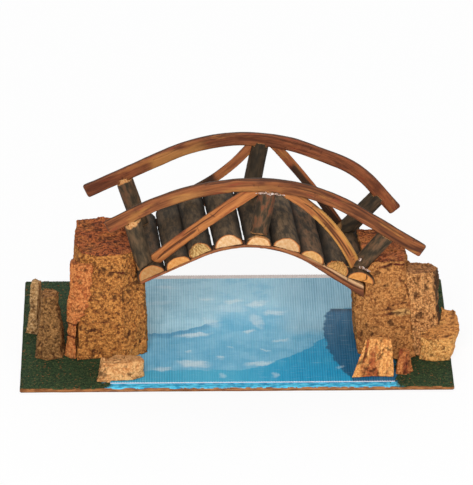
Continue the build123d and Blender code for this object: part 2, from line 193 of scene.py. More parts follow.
def ease(tree, value, low, high, bottom=0.0, top=1.0):
    sockets = {"Value": value, "From Min": low, "From Max": high, "To Min": bottom, "To Max": top}
    return put(tree, "ShaderNodeMapRange", sockets, interpolation_type="SMOOTHSTEP").outputs["Result"]


def calc(tree, operation, first, second=0.0):
    return put(tree, "ShaderNodeMath", {0: first, 1: second}, operation=operation).outputs[0]


def times(tree, *values):
    result = values[0]
    for value in values[1:]:
        result = calc(tree, "MULTIPLY", result, value)
    return result


def vectors(tree, operation, first, second=(0.0, 0.0, 0.0)):
    return put(tree, "ShaderNodeVectorMath", {0: first, 1: second}, operation=operation).outputs


def stretch(tree, vector, x, y, z):
    return vectors(tree, "MULTIPLY", vector, (x, y, z))[0]


def speckle(tree, vector, scale, detail=3.0, rough=0.55):
    sockets = {"Vector": vector, "Scale": scale, "Detail": detail, "Roughness": rough}
    return put(tree, "ShaderNodeTexNoise", sockets).outputs["Fac"]


def ownPlace(tree):  # where a point is on the piece itself, in metres
    return put(tree, "ShaderNodeTexCoord").outputs["Object"]


def kept(tree, name, output="Fac"):  # what mark() left on the mesh
    return put(tree, "ShaderNodeAttribute", attribute_name=name).outputs[output]


def newGroup(name, inputs, outputs):
    group = bpy.data.node_groups.new(name, "ShaderNodeTree")
    for label, kind in inputs.items():
        group.interface.new_socket(name=label, in_out="INPUT", socket_type="NodeSocket" + kind)
    for label, kind in outputs.items():
        group.interface.new_socket(name=label, in_out="OUTPUT", socket_type="NodeSocket" + kind)
    return group, put(group, "NodeGroupInput").outputs, put(group, "NodeGroupOutput").inputs


def placed(tree, group, inputs):  # a shared group with this material's own values
    return put(tree, "ShaderNodeGroup", inputs, node_tree=group).outputs


def newMaterial(name, rough, gleam=0.2):
    material = bpy.data.materials.new(name)
    material.use_nodes = True
    tree = material.node_tree
    tree.nodes.clear()
    shader = put(tree, "ShaderNodeBsdfPrincipled", {"Roughness": rough, "Specular IOR Level": gleam})
    put(tree, "ShaderNodeOutputMaterial", {"Surface": shader.outputs[0]})
    return material, tree, shader


def finishWith(tree, shader, colour, height, depth, rough=None):
    tree.links.new(colour, shader.inputs["Base Color"])
    bump = put(tree, "ShaderNodeBump", {"Height": height, "Distance": depth, "Strength": 1.0})
    tree.links.new(bump.outputs[0], shader.inputs["Normal"])
    if rough:
        tree.links.new(rough, shader.inputs["Roughness"])


# Effects that several finishes share
def makeFibreGrain():  # long fibres, darker streaks, and ochre and red patches along a stick
    group, given, made = newGroup(
        "fibreGrain",
        {"Grain": "Vector", "Pale": "Color", "Deep": "Color", "Ochre": "Color", "Red": "Color",
         "Streaks": "Float", "Patches": "Float"},
        {"Colour": "Color", "Height": "Float"},
    )
    grain = given["Grain"]
    fine = speckle(group, stretch(group, grain, 90, 1900, 1900), 1.0, 4.0)
    broad = speckle(group, stretch(group, grain, 28, 420, 420), 1.0, 3.0)
    patch = speckle(group, stretch(group, grain, 70, 150, 150), 1.0, 2.0)
    ochre = speckle(group, stretch(group, grain, 56, 230, 230), 1.0, 3.0)
    red = speckle(group, stretch(group, grain, 84, 310, 310), 1.0, 3.0)
    mixed = calc(group, "ADD", times(group, fine, 0.45), times(group, broad, 0.55))
    colour = blend(group, ease(group, mixed, 0.36, 0.64), given["Deep"], given["Pale"])
    for noise, low, high, amount, tint in (
        (ochre, 0.53, 0.68, "Patches", "Ochre"),
        (red, 0.55, 0.7, "Patches", "Red"),
        (patch, 0.52, 0.72, "Streaks", "Deep"),
    ):
        share = times(group, ease(group, noise, low, high), given[amount])
        colour = blend(group, share, colour, given[tint])
    group.links.new(colour, made["Colour"])
    group.links.new(mixed, made["Height"])
    return group


def makeBarkSkin():  # dull skin with fine furrows along the stick and rusty blotches
    group, given, made = newGroup(
        "barkSkin",
        {"Grain": "Vector", "Deep": "Color", "Mid": "Color", "Rust": "Color", "Rustiness": "Float"},
        {"Colour": "Color", "Height": "Float"},
    )
    grain = given["Grain"]
    furrow = speckle(group, stretch(group, grain, 110, 1300, 1300), 1.0, 5.0, 0.65)
    mottle = speckle(group, stretch(group, grain, 120, 330, 330), 1.0, 4.0, 0.6)
    fleck = speckle(group, stretch(group, grain, 900, 1500, 1500), 1.0, 2.0)
    colour = blend(group, ease(group, mottle, 0.34, 0.68), given["Deep"], given["Mid"])
    colour = blend(group, ease(group, furrow, 0.52, 0.3, 0.0, 0.5), colour, given["Deep"])
    rusty = times(group, ease(group, mottle, 0.42, 0.7), given["Rustiness"])
    colour = blend(group, rusty, colour, given["Rust"])
    colour = blend(group, ease(group, fleck, 0.66, 0.74, 0.0, 0.18), colour, given["Rust"])
    group.links.new(colour, made["Colour"])
    height = calc(group, "ADD", times(group, furrow, 0.7), times(group, fleck, 0.3))
    group.links.new(height, made["Height"])
    return group


def makeCorkFlesh():  # packed grains with dark gaps, pores and thin growth lines
    group, given, made = newGroup(
        "corkFlesh",
        {"Place": "Vector", "Layers": "Float", "Pale": "Color", "Mid": "Color", "Deep": "Color",
         "Line": "Color", "Pores": "Float"},
        {"Colour": "Color", "Height": "Float", "Tone": "Float"},
    )
    place = given["Place"]
    packed = {"Vector": place, "Scale": 880.0}
    grains = put(group, "ShaderNodeTexVoronoi", packed)
    gaps = put(group, "ShaderNodeTexVoronoi", packed, feature="DISTANCE_TO_EDGE")
    own = put(group, "ShaderNodeSeparateColor", {0: grains.outputs["Color"]}).outputs[0]
    cloudy = speckle(group, place, 170, 4.0, 0.62)
    crumbly = speckle(group, place, 620, 3.0, 0.65)
    tone = calc(group, "ADD", times(group, own, 0.34), times(group, cloudy, 0.4))
    tone = calc(group, "ADD", tone, times(group, crumbly, 0.55))
    colour = blend(group, ease(group, tone, 0.46, 0.84), given["Mid"], given["Pale"])
    colour = blend(group, ease(group, tone, 0.58, 0.4, 0.0, 0.75), colour, given["Deep"])
    narrow = ease(group, gaps.outputs["Distance"], 0.11, 0.02)
    gap = times(group, narrow, ease(group, crumbly, 0.6, 0.4, 0.15, 0.75))
    colour = blend(group, gap, colour, given["Deep"])
    cells = put(group, "ShaderNodeTexVoronoi", {"Vector": place, "Scale": 330.0})
    pore = times(group, ease(group, cells.outputs["Distance"], 0.36, 0.14), given["Pores"])
    pore = times(group, pore, ease(group, speckle(group, place, 210, 2.0), 0.48, 0.6))
    colour = blend(group, pore, colour, given["Deep"])
    line = times(group, given["Layers"], ease(group, speckle(group, place, 240, 2.0), 0.32, 0.5))
    colour = blend(group, line, colour, given["Line"])
    group.links.new(colour, made["Colour"])
    sunk = calc(group, "ADD", gap, calc(group, "ADD", pore, line))
    group.links.new(calc(group, "SUBTRACT", tone, sunk), made["Height"])
    group.links.new(tone, made["Tone"])
    return group


def makeHollowShadeAndRidges():  # painted shade in the hollows, and paler on the ridges
    group, given, made = newGroup(
        "hollowShadeAndRidges",
        {"Colour": "Color", "Hollow": "Float", "HollowShade": "Color", "RidgePale": "Color", "HollowShadeAmount": "Float"},
        {"Colour": "Color"},
    )
    # painted shade: darker where the carved surface sinks in, paler where it rises
    hollowShade = times(group, ease(group, given["Hollow"], -0.15, -0.95), given["HollowShadeAmount"])
    ridgePale = ease(group, given["Hollow"], 0.35, 1.0, 0.0, 0.3)
    colour = blend(group, hollowShade, given["Colour"], given["HollowShade"])
    group.links.new(blend(group, ridgePale, colour, given["RidgePale"]), made["Colour"])
    return group


waterPaint = {
    "base": paint(106, 186, 220),
    "soft": paint(134, 201, 229),
    "left": paint(174, 218, 234),
    "leftDeep": paint(152, 202, 222),
    "middle": paint(176, 220, 236),
    "right": paint(166, 206, 222),
    "front": paint(80, 186, 219),
    "frontRight": paint(33, 168, 214),
    "navy": paint(28, 101, 140),
    # painted shadow along the rear edge of the navy patch
    "navyTopShadow": paint(44, 44, 56),
    "stroke": paint(78, 156, 196),
    "dab": paint(218, 236, 243),
    "strip": paint(26, 142, 188),
    "stripPale": paint(96, 212, 242),
    # all places in millimetres: a pair runs from none of a colour to all of it
    "bend": (-34.5, 39.0, 99.4),  # centre and radius of the long stroke that parts pale from deep
    "frontLine": -53.5,
    "stripLine": -69.0,  # where the bare front strip begins
    "leftFade": (-3.0, -15.0),
    "leftEdge": (0.54, 18.5, -2.1),  # slope, height in the middle and lowest place of its lower edge
    "underFade": (-8.0, -20.0),
    "middleFades": ((-26.0, -6.0), (46.0, 24.0)),
    "middleRows": (12.0, 40.0),
    "rightFade": (18.0, 38.0),
    "rightRows": (-10.0, 6.0),
    "deepFade": (-20.0, 40.0),
    "deepRows": (33.0, 29.0),
    "navyBow": (-4.0, 0.0036, 52.2),  # its row, hollow and place of the bowed left side
    "navyRows": (31.2, 29.4),
    "navyTopShadowRows": (24.0, 30.0),
    # middle, half sizes and slant in degrees of each pale dab, and its strength
    "dabs": (
        (-24.4, -4.5, 12, 3.4, 10, 0.9), (-16.1, 44.2, 5, 3, 0, 0.7), (-0.4, 41.5, 7, 3.4, 15, 0.8),
        (13.5, 38.5, 8.5, 4.6, 32, 0.9), (23.6, 25.5, 8, 4.8, 5, 0.8), (8.4, -0.5, 4.5, 3, 20, 0.8),
        (26.2, -13.4, 6, 2.2, 0, 0.6), (-24.7, -44.6, 11, 5.5, -8, 0.9), (-43.1, -51.3, 7, 4, 0, 0.7),
        (13.1, -44.2, 10, 3.4, 12, 0.8), (-9.3, -36.5, 3.4, 2.4, 0, 0.6), (-39.6, 62.2, 8, 3.2, 0, 0.55),
        (-28.0, -27.6, 3, 2.2, 30, 0.6), (17.3, -26.3, 4, 1.6, -35, 0.6), (-3.1, -22.0, 2.6, 1.6, -30, 0.5),
        (-14.0, 12.0, 5, 9, 30, 0.4), (13.0, 14.0, 4, 12, 12, 0.65), (-45.0, 40.0, 12, 2.6, 6, 0.35),
        (60.0, -50.0, 3.6, 1.8, 20, 0.5), (-8.0, -60.0, 2.2, 4.5, 8, 0.5), (22.0, -60.0, 2.4, 4.5, -6, 0.5),
        (-2.0, 32.0, 12, 8, 0, 0.35),
    ),
}


def makeWaterPaint():  # brushed blue, pale to the back and deep to the front, with pale dabs
    look = waterPaint
    group, given, made = newGroup(
        "waterPaint", {"Place": "Vector"}, {"Colour": "Color", "Height": "Float"},
    )
    place = stretch(group, given["Place"], 1000, 1000, 0)  # in millimetres from here on
    slow = {"Vector": place, "Scale": 0.16, "Detail": 4.0}
    noise = put(group, "ShaderNodeTexNoise", slow).outputs["Color"]
    sway = stretch(group, vectors(group, "SUBTRACT", noise, (0.5, 0.5, 0.5))[0], 6, 9, 0)
    bent = vectors(group, "ADD", place, sway)[0]
    split = put(group, "ShaderNodeSeparateXYZ", {0: bent}).outputs
    x, y = split["X"], split["Y"]
    cloudy = speckle(group, stretch(group, bent, 0.045, 0.06, 0), 1.0, 4.0, 0.6)
    streak = speckle(group, stretch(group, place, 0.10, 0.9, 0), 1.0, 3.0)
    colour = blend(group, ease(group, cloudy, 0.38, 0.62), look["base"], look["soft"])
    # the pale patch at the back on the left, under a darker stroke
    slope, level, lowest = look["leftEdge"]
    edge = calc(group, "MAXIMUM", calc(group, "ADD", times(group, x, slope), level), lowest)
    above = calc(group, "SUBTRACT", y, edge)
    leftward = ease(group, x, *look["leftFade"])
    under = times(group, ease(group, above, 0.6, -0.6), ease(group, above, -9.0, -2.0))
    under = times(group, under, ease(group, x, *look["underFade"]), 0.75)
    colour = blend(group, under, colour, look["stroke"])
    pale = blend(group, ease(group, cloudy, 0.36, 0.6), look["leftDeep"], look["left"])
    colour = blend(group, times(group, ease(group, above, -0.5, 0.9), leftward), colour, pale)
    # paler at the back in the middle, and greyer on the right
    behind = times(group, *[ease(group, x, *fade) for fade in look["middleFades"]], 0.8)
    behind = times(group, behind, ease(group, y, *look["middleRows"]))
    behind = times(group, behind, ease(group, cloudy, 0.3, 0.55, 0.5, 1.0))
    colour = blend(group, behind, colour, look["middle"])
    right = times(group, ease(group, x, *look["rightFade"]), ease(group, y, *look["rightRows"]), 0.75)
    colour = blend(group, right, colour, look["right"])
    # the deep front beyond the long stroke
    bendX, bendY, bendRadius = look["bend"]
    reach = vectors(group, "LENGTH", vectors(group, "SUBTRACT", bent, (bendX, bendY, 0.0))[0])["Value"]
    front = calc(group, "MAXIMUM", ease(group, reach, bendRadius - 0.5, bendRadius + 0.7),
                 ease(group, y, look["frontLine"] + 0.7, look["frontLine"] - 0.7))
    deep = blend(group, ease(group, x, *look["deepFade"]), look["front"], look["frontRight"])
    deep = blend(group, ease(group, cloudy, 0.5, 0.7, 0.0, 0.3), deep, look["front"])
    lengthwise = put(group, "ShaderNodeSeparateXYZ", {0: place}).outputs["Y"]
    front = times(group, front, ease(group, lengthwise, *look["deepRows"]))
    colour = blend(group, front, colour, deep)
    # the navy patch on the right, with a painted shadow along its rear edge
    bowRow, bowHollow, bowPlace = look["navyBow"]
    squared = calc(group, "POWER", calc(group, "SUBTRACT", y, bowRow), 2.0)
    bow = calc(group, "ADD", times(group, squared, bowHollow), bowPlace)
    inside = calc(group, "SUBTRACT", x, bow)
    navy = times(group, ease(group, inside, -0.7, 0.9), ease(group, lengthwise, *look["navyRows"]))
    colour = blend(group, times(group, navy, 0.94), colour, look["navy"])
    # painted shadow deepening towards the rear edge of the navy patch
    navyShadow = times(group, navy, ease(group, lengthwise, *look["navyTopShadowRows"], 0.0, 0.6))
    colour = blend(group, navyShadow, colour, look["navyTopShadow"])
    dabbed = 0.0
    for middleX, middleY, halfX, halfY, slant, strength in look["dabs"]:
        sockets = {
            "Vector": bent, "Location": (middleX, middleY, 0.0),
            "Rotation": (0.0, 0.0, math.radians(slant)), "Scale": (halfX, halfY, 1.0),
        }
        own = put(group, "ShaderNodeMapping", sockets, vector_type="TEXTURE").outputs[0]
        away = vectors(group, "LENGTH", own)["Value"]
        dabbed = calc(group, "MAXIMUM", dabbed, ease(group, away, 1.15, 0.35, 0.0, strength))
    dabbed = times(group, dabbed, ease(group, streak, 0.25, 0.6, 0.45, 1.0))
    colour = blend(group, times(group, dabbed, 0.95), colour, look["dab"])
    colour = blend(group, ease(group, streak, 0.56, 0.75, 0.0, 0.22), colour, look["dab"])
    colour = blend(group, ease(group, streak, 0.44, 0.25, 0.0, 0.25), colour, look["stroke"])
    daubed = speckle(group, stretch(group, place, 0.22, 0.5, 0), 1.0, 4.0, 0.6)
    strip = blend(group, ease(group, daubed, 0.36, 0.62), look["strip"], look["stripPale"])
    onStrip = ease(group, lengthwise, look["stripLine"] + 0.3, look["stripLine"] - 0.3)
    colour = blend(group, onStrip, colour, strip)
    group.links.new(colour, made["Colour"])
    group.links.new(calc(group, "ADD", streak, dabbed), made["Height"])
    return group


fibreGrain = makeFibreGrain()
barkSkin = makeBarkSkin()
corkFlesh = makeCorkFlesh()
hollowShadeAndRidges = makeHollowShadeAndRidges()
brushedWater = makeWaterPaint()
print("shared shader groups ready")


def withHollowShadeAndRidges(tree, colour, look):  # a finish with its painted shade in the hollows and its paler ridges
    return placed(tree, hollowShadeAndRidges, {
        "Colour": colour, "Hollow": kept(tree, "hollow"), "HollowShade": look["hollowShade"], "RidgePale": look["ridgePale"],
        "HollowShadeAmount": look["hollowShadeAmount"],
    })["Colour"]


# Base board: raw edges, gritty green ends, blue between
boardLook = {
    "corner": 0.5 * mm,
    "reach": 75.0,  # from the middle to the front edge
    "paintLeft": -74.0,
    "paintRight": 92.0,
    "raw": paint(176, 116, 68),
    "rawDeep": paint(122, 74, 42),
    "green": paint(58, 78, 46),
    "greenDeep": paint(28, 46, 28),
    "speck": paint(158, 94, 52),
    "relief": 0.5 * mm,
    "unevenEdge": 0.13 * mm,
    "cuts": 60,  # how finely its sides are divided
}


def boardFinish():
    look = boardLook
    material, tree, shader = newMaterial("paintedBoard", 0.7)
    place = ownPlace(tree)
    water = placed(tree, brushedWater, {"Place": place})
    grit = speckle(tree, place, 700, 4.0, 0.7)
    patch = speckle(tree, place, 120, 3.0)
    green = blend(tree, ease(tree, grit, 0.38, 0.62), look["greenDeep"], look["green"])
    specks = times(tree, ease(tree, grit, 0.6, 0.66), ease(tree, patch, 0.4, 0.6))
    green = blend(tree, specks, green, look["speck"])
    edge = put(tree, "ShaderNodeSeparateXYZ", {0: stretch(tree, place, 1000, 1000, 1000)}).outputs
    ragged = calc(tree, "ADD", edge["X"], times(tree, calc(tree, "SUBTRACT", patch, 0.5), 20.0))
    leftEdge = ease(tree, ragged, look["paintLeft"] - 2, look["paintLeft"] + 1)
    rightEdge = ease(tree, ragged, look["paintRight"] + 2, look["paintRight"] - 1)
    blue = times(tree, leftEdge, rightEdge)
    top = blend(tree, blue, green, water["Colour"])
    grain = speckle(tree, stretch(tree, place, 220, 220, 1600), 1.0, 4.0)
    raw = blend(tree, ease(tree, grain, 0.36, 0.64), look["rawDeep"], look["raw"])
    # paint that ran over the edge
    runs = speckle(tree, stretch(tree, place, 150, 150, 40), 1.0, 4.0, 0.65)
    level = calc(tree, "ADD", times(tree, runs, -9.0), 7.0)
    dripped = ease(tree, calc(tree, "SUBTRACT", edge["Z"], level), -0.2, 0.2)
    upright = ease(tree, kept(tree, "upward"), 0.4, 0.7)
    painted = calc(tree, "ADD", upright, times(tree, dripped, kept(tree, "sideways")))
    painted = put(tree, "ShaderNodeClamp", {0: painted}).outputs[0]
    fromFront = calc(tree, "ADD", edge["Y"], look["reach"] + 0.6)
    fromFront = calc(tree, "SUBTRACT", fromFront, times(tree, runs, 2.2))
    painted = times(tree, painted, ease(tree, fromFront, 0.0, 0.25))
    colour = blend(tree, painted, raw, top)
    bare = calc(tree, "SUBTRACT", 1.0, blue)
    height = calc(tree, "ADD", times(tree, grit, bare), times(tree, water["Height"], 0.3))
    finishWith(tree, shader, colour, height, look["relief"], ease(tree, blue, 0.0, 1.0, 0.85, 0.5))
    return material


def buildBoard():
    look = boardLook
    low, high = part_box("base_board")
    shape = bmesh.new()
    bmesh.ops.create_cube(shape, size=1)
    size = high - low
    for vert in shape.verts:
        vert.co = Vector((low[i] + (vert.co[i] + 0.5) * size[i] for i in range(3)))
    bmesh.ops.bevel(shape, geom=shape.edges[:], offset=look["corner"], segments=2, affect="EDGES")
    long = [e for e in shape.edges if (e.verts[0].co - e.verts[1].co).length > 100 * mm]
    bmesh.ops.subdivide_edges(shape, edges=long, cuts=look["cuts"], use_grid_fill=True)
    mesh = bpy.data.meshes.new("base_board_look")
    shape.to_mesh(mesh)
    shape.free()
    piece = newPiece("base_board_look", mesh)
    co, normal = places(mesh), facings(mesh)
    rim = np.abs(normal[:, 2]) < 0.9
    cutByHand = look["unevenEdge"] * (swells(co, 9 * mm, 3) - 1)  # never proud of the solid
    inward = np.where(rim, cutByHand, 0)
    moved(mesh, co + normal * inward[:, None])
    mark(mesh, upward=normal[:, 2], sideways=rim.astype(float))
    settle(piece, boardFinish(), "painted_board", "base_board")


buildBoard()
print("board built")


# Coarse grit glued on the green ends of the board
gritLook = {
    "grains": 4200,
    "size": (0.30 * mm, 0.95 * mm),
    "colours": (
        paint(44, 66, 40), paint(66, 88, 52), paint(94, 104, 62),
        paint(34, 48, 30), paint(152, 92, 52), paint(112, 76, 46),
    ),
    "odds": (0.30, 0.26, 0.14, 0.14, 0.09, 0.07),
    "shade": paint(34, 48, 30),
    "margin": 1.0 * mm,  # kept clear at the board's edges
    "scatter": 1.2 * mm,
    "large": (0.06, 1.5),  # share of larger grains, and how much larger
    "flatness": 0.7,
    "bump": 0.15 * mm,
    "seed": 11,
}


def gritFinish():
    material, tree, shader = newMaterial("greenGrit", 0.9)
    place = ownPlace(tree)
    rough = speckle(tree, place, 2600, 2.0)
    tint = kept(tree, "tint", "Color")
    colour = blend(tree, ease(tree, rough, 0.35, 0.65, 0.0, 0.5), tint, gritLook["shade"])
    finishWith(tree, shader, colour, rough, gritLook["bump"])
    return material


def buildGrit():
    look = gritLook
    rng = np.random.default_rng(look["seed"])
    low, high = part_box("base_board")
    left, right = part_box("water_sheet")[0].x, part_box("water_sheet")[1].x
    count = look["grains"]
    width = (left - low.x) + (high.x - right)
    x = rng.uniform(0, width, count)
    x = np.where(x < left - low.x, low.x + x, right + x - (left - low.x))
    y = rng.uniform(low.y, high.y, count)
    edge = look["margin"]
    x = np.clip(x + rng.normal(0, look["scatter"], count), low.x + edge, high.x - edge)
    y = np.clip(y, low.y + edge, high.y - edge)
    size = rng.uniform(*look["size"], count)
    largeShare, larger = look["large"]
    size *= np.where(rng.random(count) < largeShare, larger, 1.0)
    # each grain is a lopsided eight-sided crystal
    corners = np.array(((1, 0, 0), (-1, 0, 0), (0, 1, 0), (0, -1, 0), (0, 0, 1), (0, 0, -1)), float)
    sides = np.array((
        (0, 2, 4), (2, 1, 4), (1, 3, 4), (3, 0, 4), (2, 0, 5), (1, 2, 5), (3, 1, 5), (0, 3, 5),
    ))
    turn = rng.uniform(0, math.tau, count)
    grain = corners[None] * rng.uniform(0.55, 1.0, (count, len(corners), 1))
    spun = np.stack((
        grain[..., 0] * np.cos(turn)[:, None] - grain[..., 1] * np.sin(turn)[:, None],
        grain[..., 0] * np.sin(turn)[:, None] + grain[..., 1] * np.cos(turn)[:, None],
        grain[..., 2] * look["flatness"],
    ), axis=2)
    hearts = np.stack((x, y, np.full(count, high.z) + size * 0.1), axis=1)
    spun = spun * size[:, None, None] / 1.4 + hearts[:, None]
    faces = (sides[None] + len(corners) * np.arange(count)[:, None, None]).reshape(-1, 3)
    mesh = bpy.data.meshes.new("board_grit")
    mesh.from_pydata(spun.reshape(-1, 3).tolist(), [], faces.tolist())
    tints = np.array(look["colours"])[rng.choice(len(look["odds"]), count, p=look["odds"])]
    colours = np.repeat(tints, len(corners), axis=0).astype(np.float32)
    mesh.attributes.new("tint", "FLOAT_COLOR", "POINT").data.foreach_set("color", colours.ravel())
    piece = settle(newPiece("board_grit", mesh), gritFinish(), "painted_board")
    piece.data.shade_flat()


buildGrit()
print("grit strewn")


# Ribbed clear sheet: the brushed water shows through its ribs
sheetLook = {
    "pitch": 1.45 * mm,
    "steps": 6,
    "rib": 0.22 * mm,
    "bare": paint(240, 226, 220),
    # painted shade in the grooves of the ribs
    "groove": paint(182, 200, 210),
    # painted highlight along the front edge of the sheet
    "lip": paint(232, 216, 218),
    "brushMarks": 0.05 * mm,
    "edgeDrop": 0.25 * mm,  # rounding of the front and rear edges
    "rows": 24,
    "coat": 0.03,
    "coatRough": 0.25,
}


def sheetFinish():
    look = sheetLook
    material, tree, shader = newMaterial("ribbedSheet", 0.5, 0.12)
    place = ownPlace(tree)
    water = placed(tree, brushedWater, {"Place": place})
    bare = ease(tree, kept(tree, "overhang"), 0.4, 0.6)
    veil = speckle(tree, stretch(tree, place, 300, 40, 1), 1.0, 3.0)
    # painted shade in the grooves of the ribs, stronger towards the sides
    side = calc(tree, "ABSOLUTE", put(tree, "ShaderNodeSeparateXYZ", {0: place}).outputs["X"])
    strength = times(tree, ease(tree, side, 0.012, 0.05, 0.22, 0.9), ease(tree, veil, 0.3, 0.7, 0.5, 1.0))
    shade = times(tree, kept(tree, "groove"), strength)
    colour = blend(tree, shade, water["Colour"], look["groove"], "MULTIPLY")
    colour = blend(tree, bare, colour, look["bare"])
    # painted highlight on the front edge
    colour = blend(tree, kept(tree, "lip"), colour, look["lip"])
    tree.links.new(ease(tree, bare, 0.0, 1.0, 1.0, 0.8), shader.inputs["Alpha"])
    shader.inputs["Coat Roughness"].default_value = look["coatRough"]
    shader.inputs["Coat Weight"].default_value = look["coat"]
    rough = ease(tree, veil, 0.3, 0.7, 0.4, 0.55)
    finishWith(tree, shader, colour, water["Height"], look["brushMarks"], rough)
    return material


def buildSheet():
    look = sheetLook
    low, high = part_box("water_sheet")
    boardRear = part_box("base_board")[1].y
    ribs = round((high.x - low.x) / look["pitch"])
    count = ribs * look["steps"] + 1
    x = np.linspace(low.x, high.x, count)
    wave = 0.5 + 0.5 * np.cos(np.linspace(0, math.tau * ribs, count))  # 1 on a rib, 0 in a groove
    nearFront = (low.y, low.y + 0.4 * mm, low.y + 0.6 * mm)
    nearRear = (boardRear + 0.1 * mm, high.y - 0.4 * mm, high.y)
    between = np.linspace(low.y + 6 * mm, boardRear - 0.4 * mm, look["rows"])
    rows = np.array((*nearFront, *between, *nearRear))
    top = high.z - look["rib"] * (1 - wave)
    verts = []
    marks = []
    for row, y in enumerate(rows):
        edge = look["edgeDrop"] if row in (0, len(rows) - 1) else 0
        for i in range(count):
            verts.append((x[i], y, top[i] - edge))
            # marks: groove, overhang, and the painted highlight on the front row
            marks.append((1 - wave[i], float(y > boardRear), float(row < 1)))
    base = len(verts)
    for y in (rows[0], rows[-1]):
        for i in range(count):
            verts.append((x[i], y, low.z))
            marks.append((1 - wave[i], float(y > boardRear), 0.0))
    faces = [
        (r * count + i, r * count + i + 1, (r + 1) * count + i + 1, (r + 1) * count + i)
        for r in range(len(rows) - 1) for i in range(count - 1)
    ]
    last = (len(rows) - 1) * count
    far = base + count
    for i in range(count - 1):
        faces.append((base + i, base + i + 1, i + 1, i))
        faces.append((last + i, last + i + 1, far + i + 1, far + i))
        faces.append((far + i, far + i + 1, base + i + 1, base + i))
    faces.append((base, *[r * count for r in range(len(rows))], far))
    faces.append((far + count - 1, *[(r + 1) * count - 1 for r in reversed(range(len(rows)))], far - 1))
    mesh = bpy.data.meshes.new("water_sheet_look")
    mesh.from_pydata(verts, [], faces)
    mesh.validate()
    shape = bmesh.new()
    shape.from_mesh(mesh)
    bmesh.ops.recalc_face_normals(shape, faces=shape.faces)
    shape.to_mesh(mesh)
    shape.free()
    groove, overhang, lip = np.array(marks).T
    mark(mesh, groove=groove, overhang=overhang, lip=lip)
    settle(newPiece("water_sheet_look", mesh), sheetFinish(), "ribbed_sheet", "water_sheet")


buildSheet()
print("sheet ribbed")


# Sticks: grain that follows the bend of a stick, from its own middle line
def stickGrain(co, axis, side, stations=41):
    axis, side = np.array(axis) / np.linalg.norm(axis), np.array(side) / np.linalg.norm(side)
    deep = np.cross(axis, side)
    s, t, w = co @ axis, co @ side, co @ deep
    bins = np.linspace(s.min(), s.max(), stations + 1)
    which = np.clip(np.digitize(s, bins) - 1, 0, stations - 1)
    heart = (bins[:-1] + bins[1:]) / 2
    inner = [i for i in range(2, stations - 2) if (which == i).any()]
    scale = np.ptp(s) / 2
    centre = (s.max() + s.min()) / 2
    fits = []
    for across in (t, w):
        middle = [(across[which == i].max() + across[which == i].min()) / 2 for i in inner]
        fits.append(np.polynomial.Polynomial.fit((heart[inner] - centre) / scale, middle, 6))
    u = (s - centre) / scale
    tilt = np.arctan(fits[0].deriv()(u) / scale)
    t, w = (t - fits[0](u)) * np.cos(tilt), w - fits[1](u)
    steps = np.linspace(-1, 1, 200)
    pace = np.sqrt(1 + (fits[0].deriv()(steps[1:]) / scale) ** 2) * scale * (steps[1] - steps[0])
    run = np.interp(u, steps, np.concatenate(((0,), np.cumsum(pace)))) + t * np.sin(tilt)
    tangent = axis[None] * np.cos(tilt)[:, None] + side[None] * np.sin(tilt)[:, None]
    return run, t, w, tangent


# Finish of split sticks: fibres on the split face, skin on the round side, a dark line where they meet
def stickFinish(name, look):
    material, tree, shader = newMaterial(name, 0.6, look["gleam"])
    grain = kept(tree, "grain", "Vector")
    wood = placed(tree, fibreGrain, {
        "Grain": grain, "Pale": look["pale"], "Deep": look["deep"], "Ochre": look["ochre"],
        "Red": look["red"], "Streaks": look["streaks"], "Patches": look["patches"],
    })
    skin = placed(tree, barkSkin, {
        "Grain": grain, "Deep": look["skinDeep"], "Mid": look["skin"], "Rust": look["deep"],
        "Rustiness": look["rustiness"],
    })
    split = kept(tree, "splitFace")
    colour = blend(tree, split, skin["Colour"], wood["Colour"])
    colour = blend(tree, times(tree, kept(tree, "edgeLine"), 0.8), colour, look["line"])
    colour = blend(tree, kept(tree, "glow"), colour, look["glow"])
    colour = blend(tree, kept(tree, "stain"), colour, look["stain"])
    colour = blend(tree, kept(tree, "cutEnd"), colour, look["end"])
    colour = withHollowShadeAndRidges(tree, colour, look)
    height = blend(tree, split, skin["Height"], wood["Height"])
    rough = ease(tree, wood["Height"], 0.3, 0.7, 0.68, 0.54)
    finishWith(tree, shader, colour, height, look["fibreDepth"], rough)
    return material


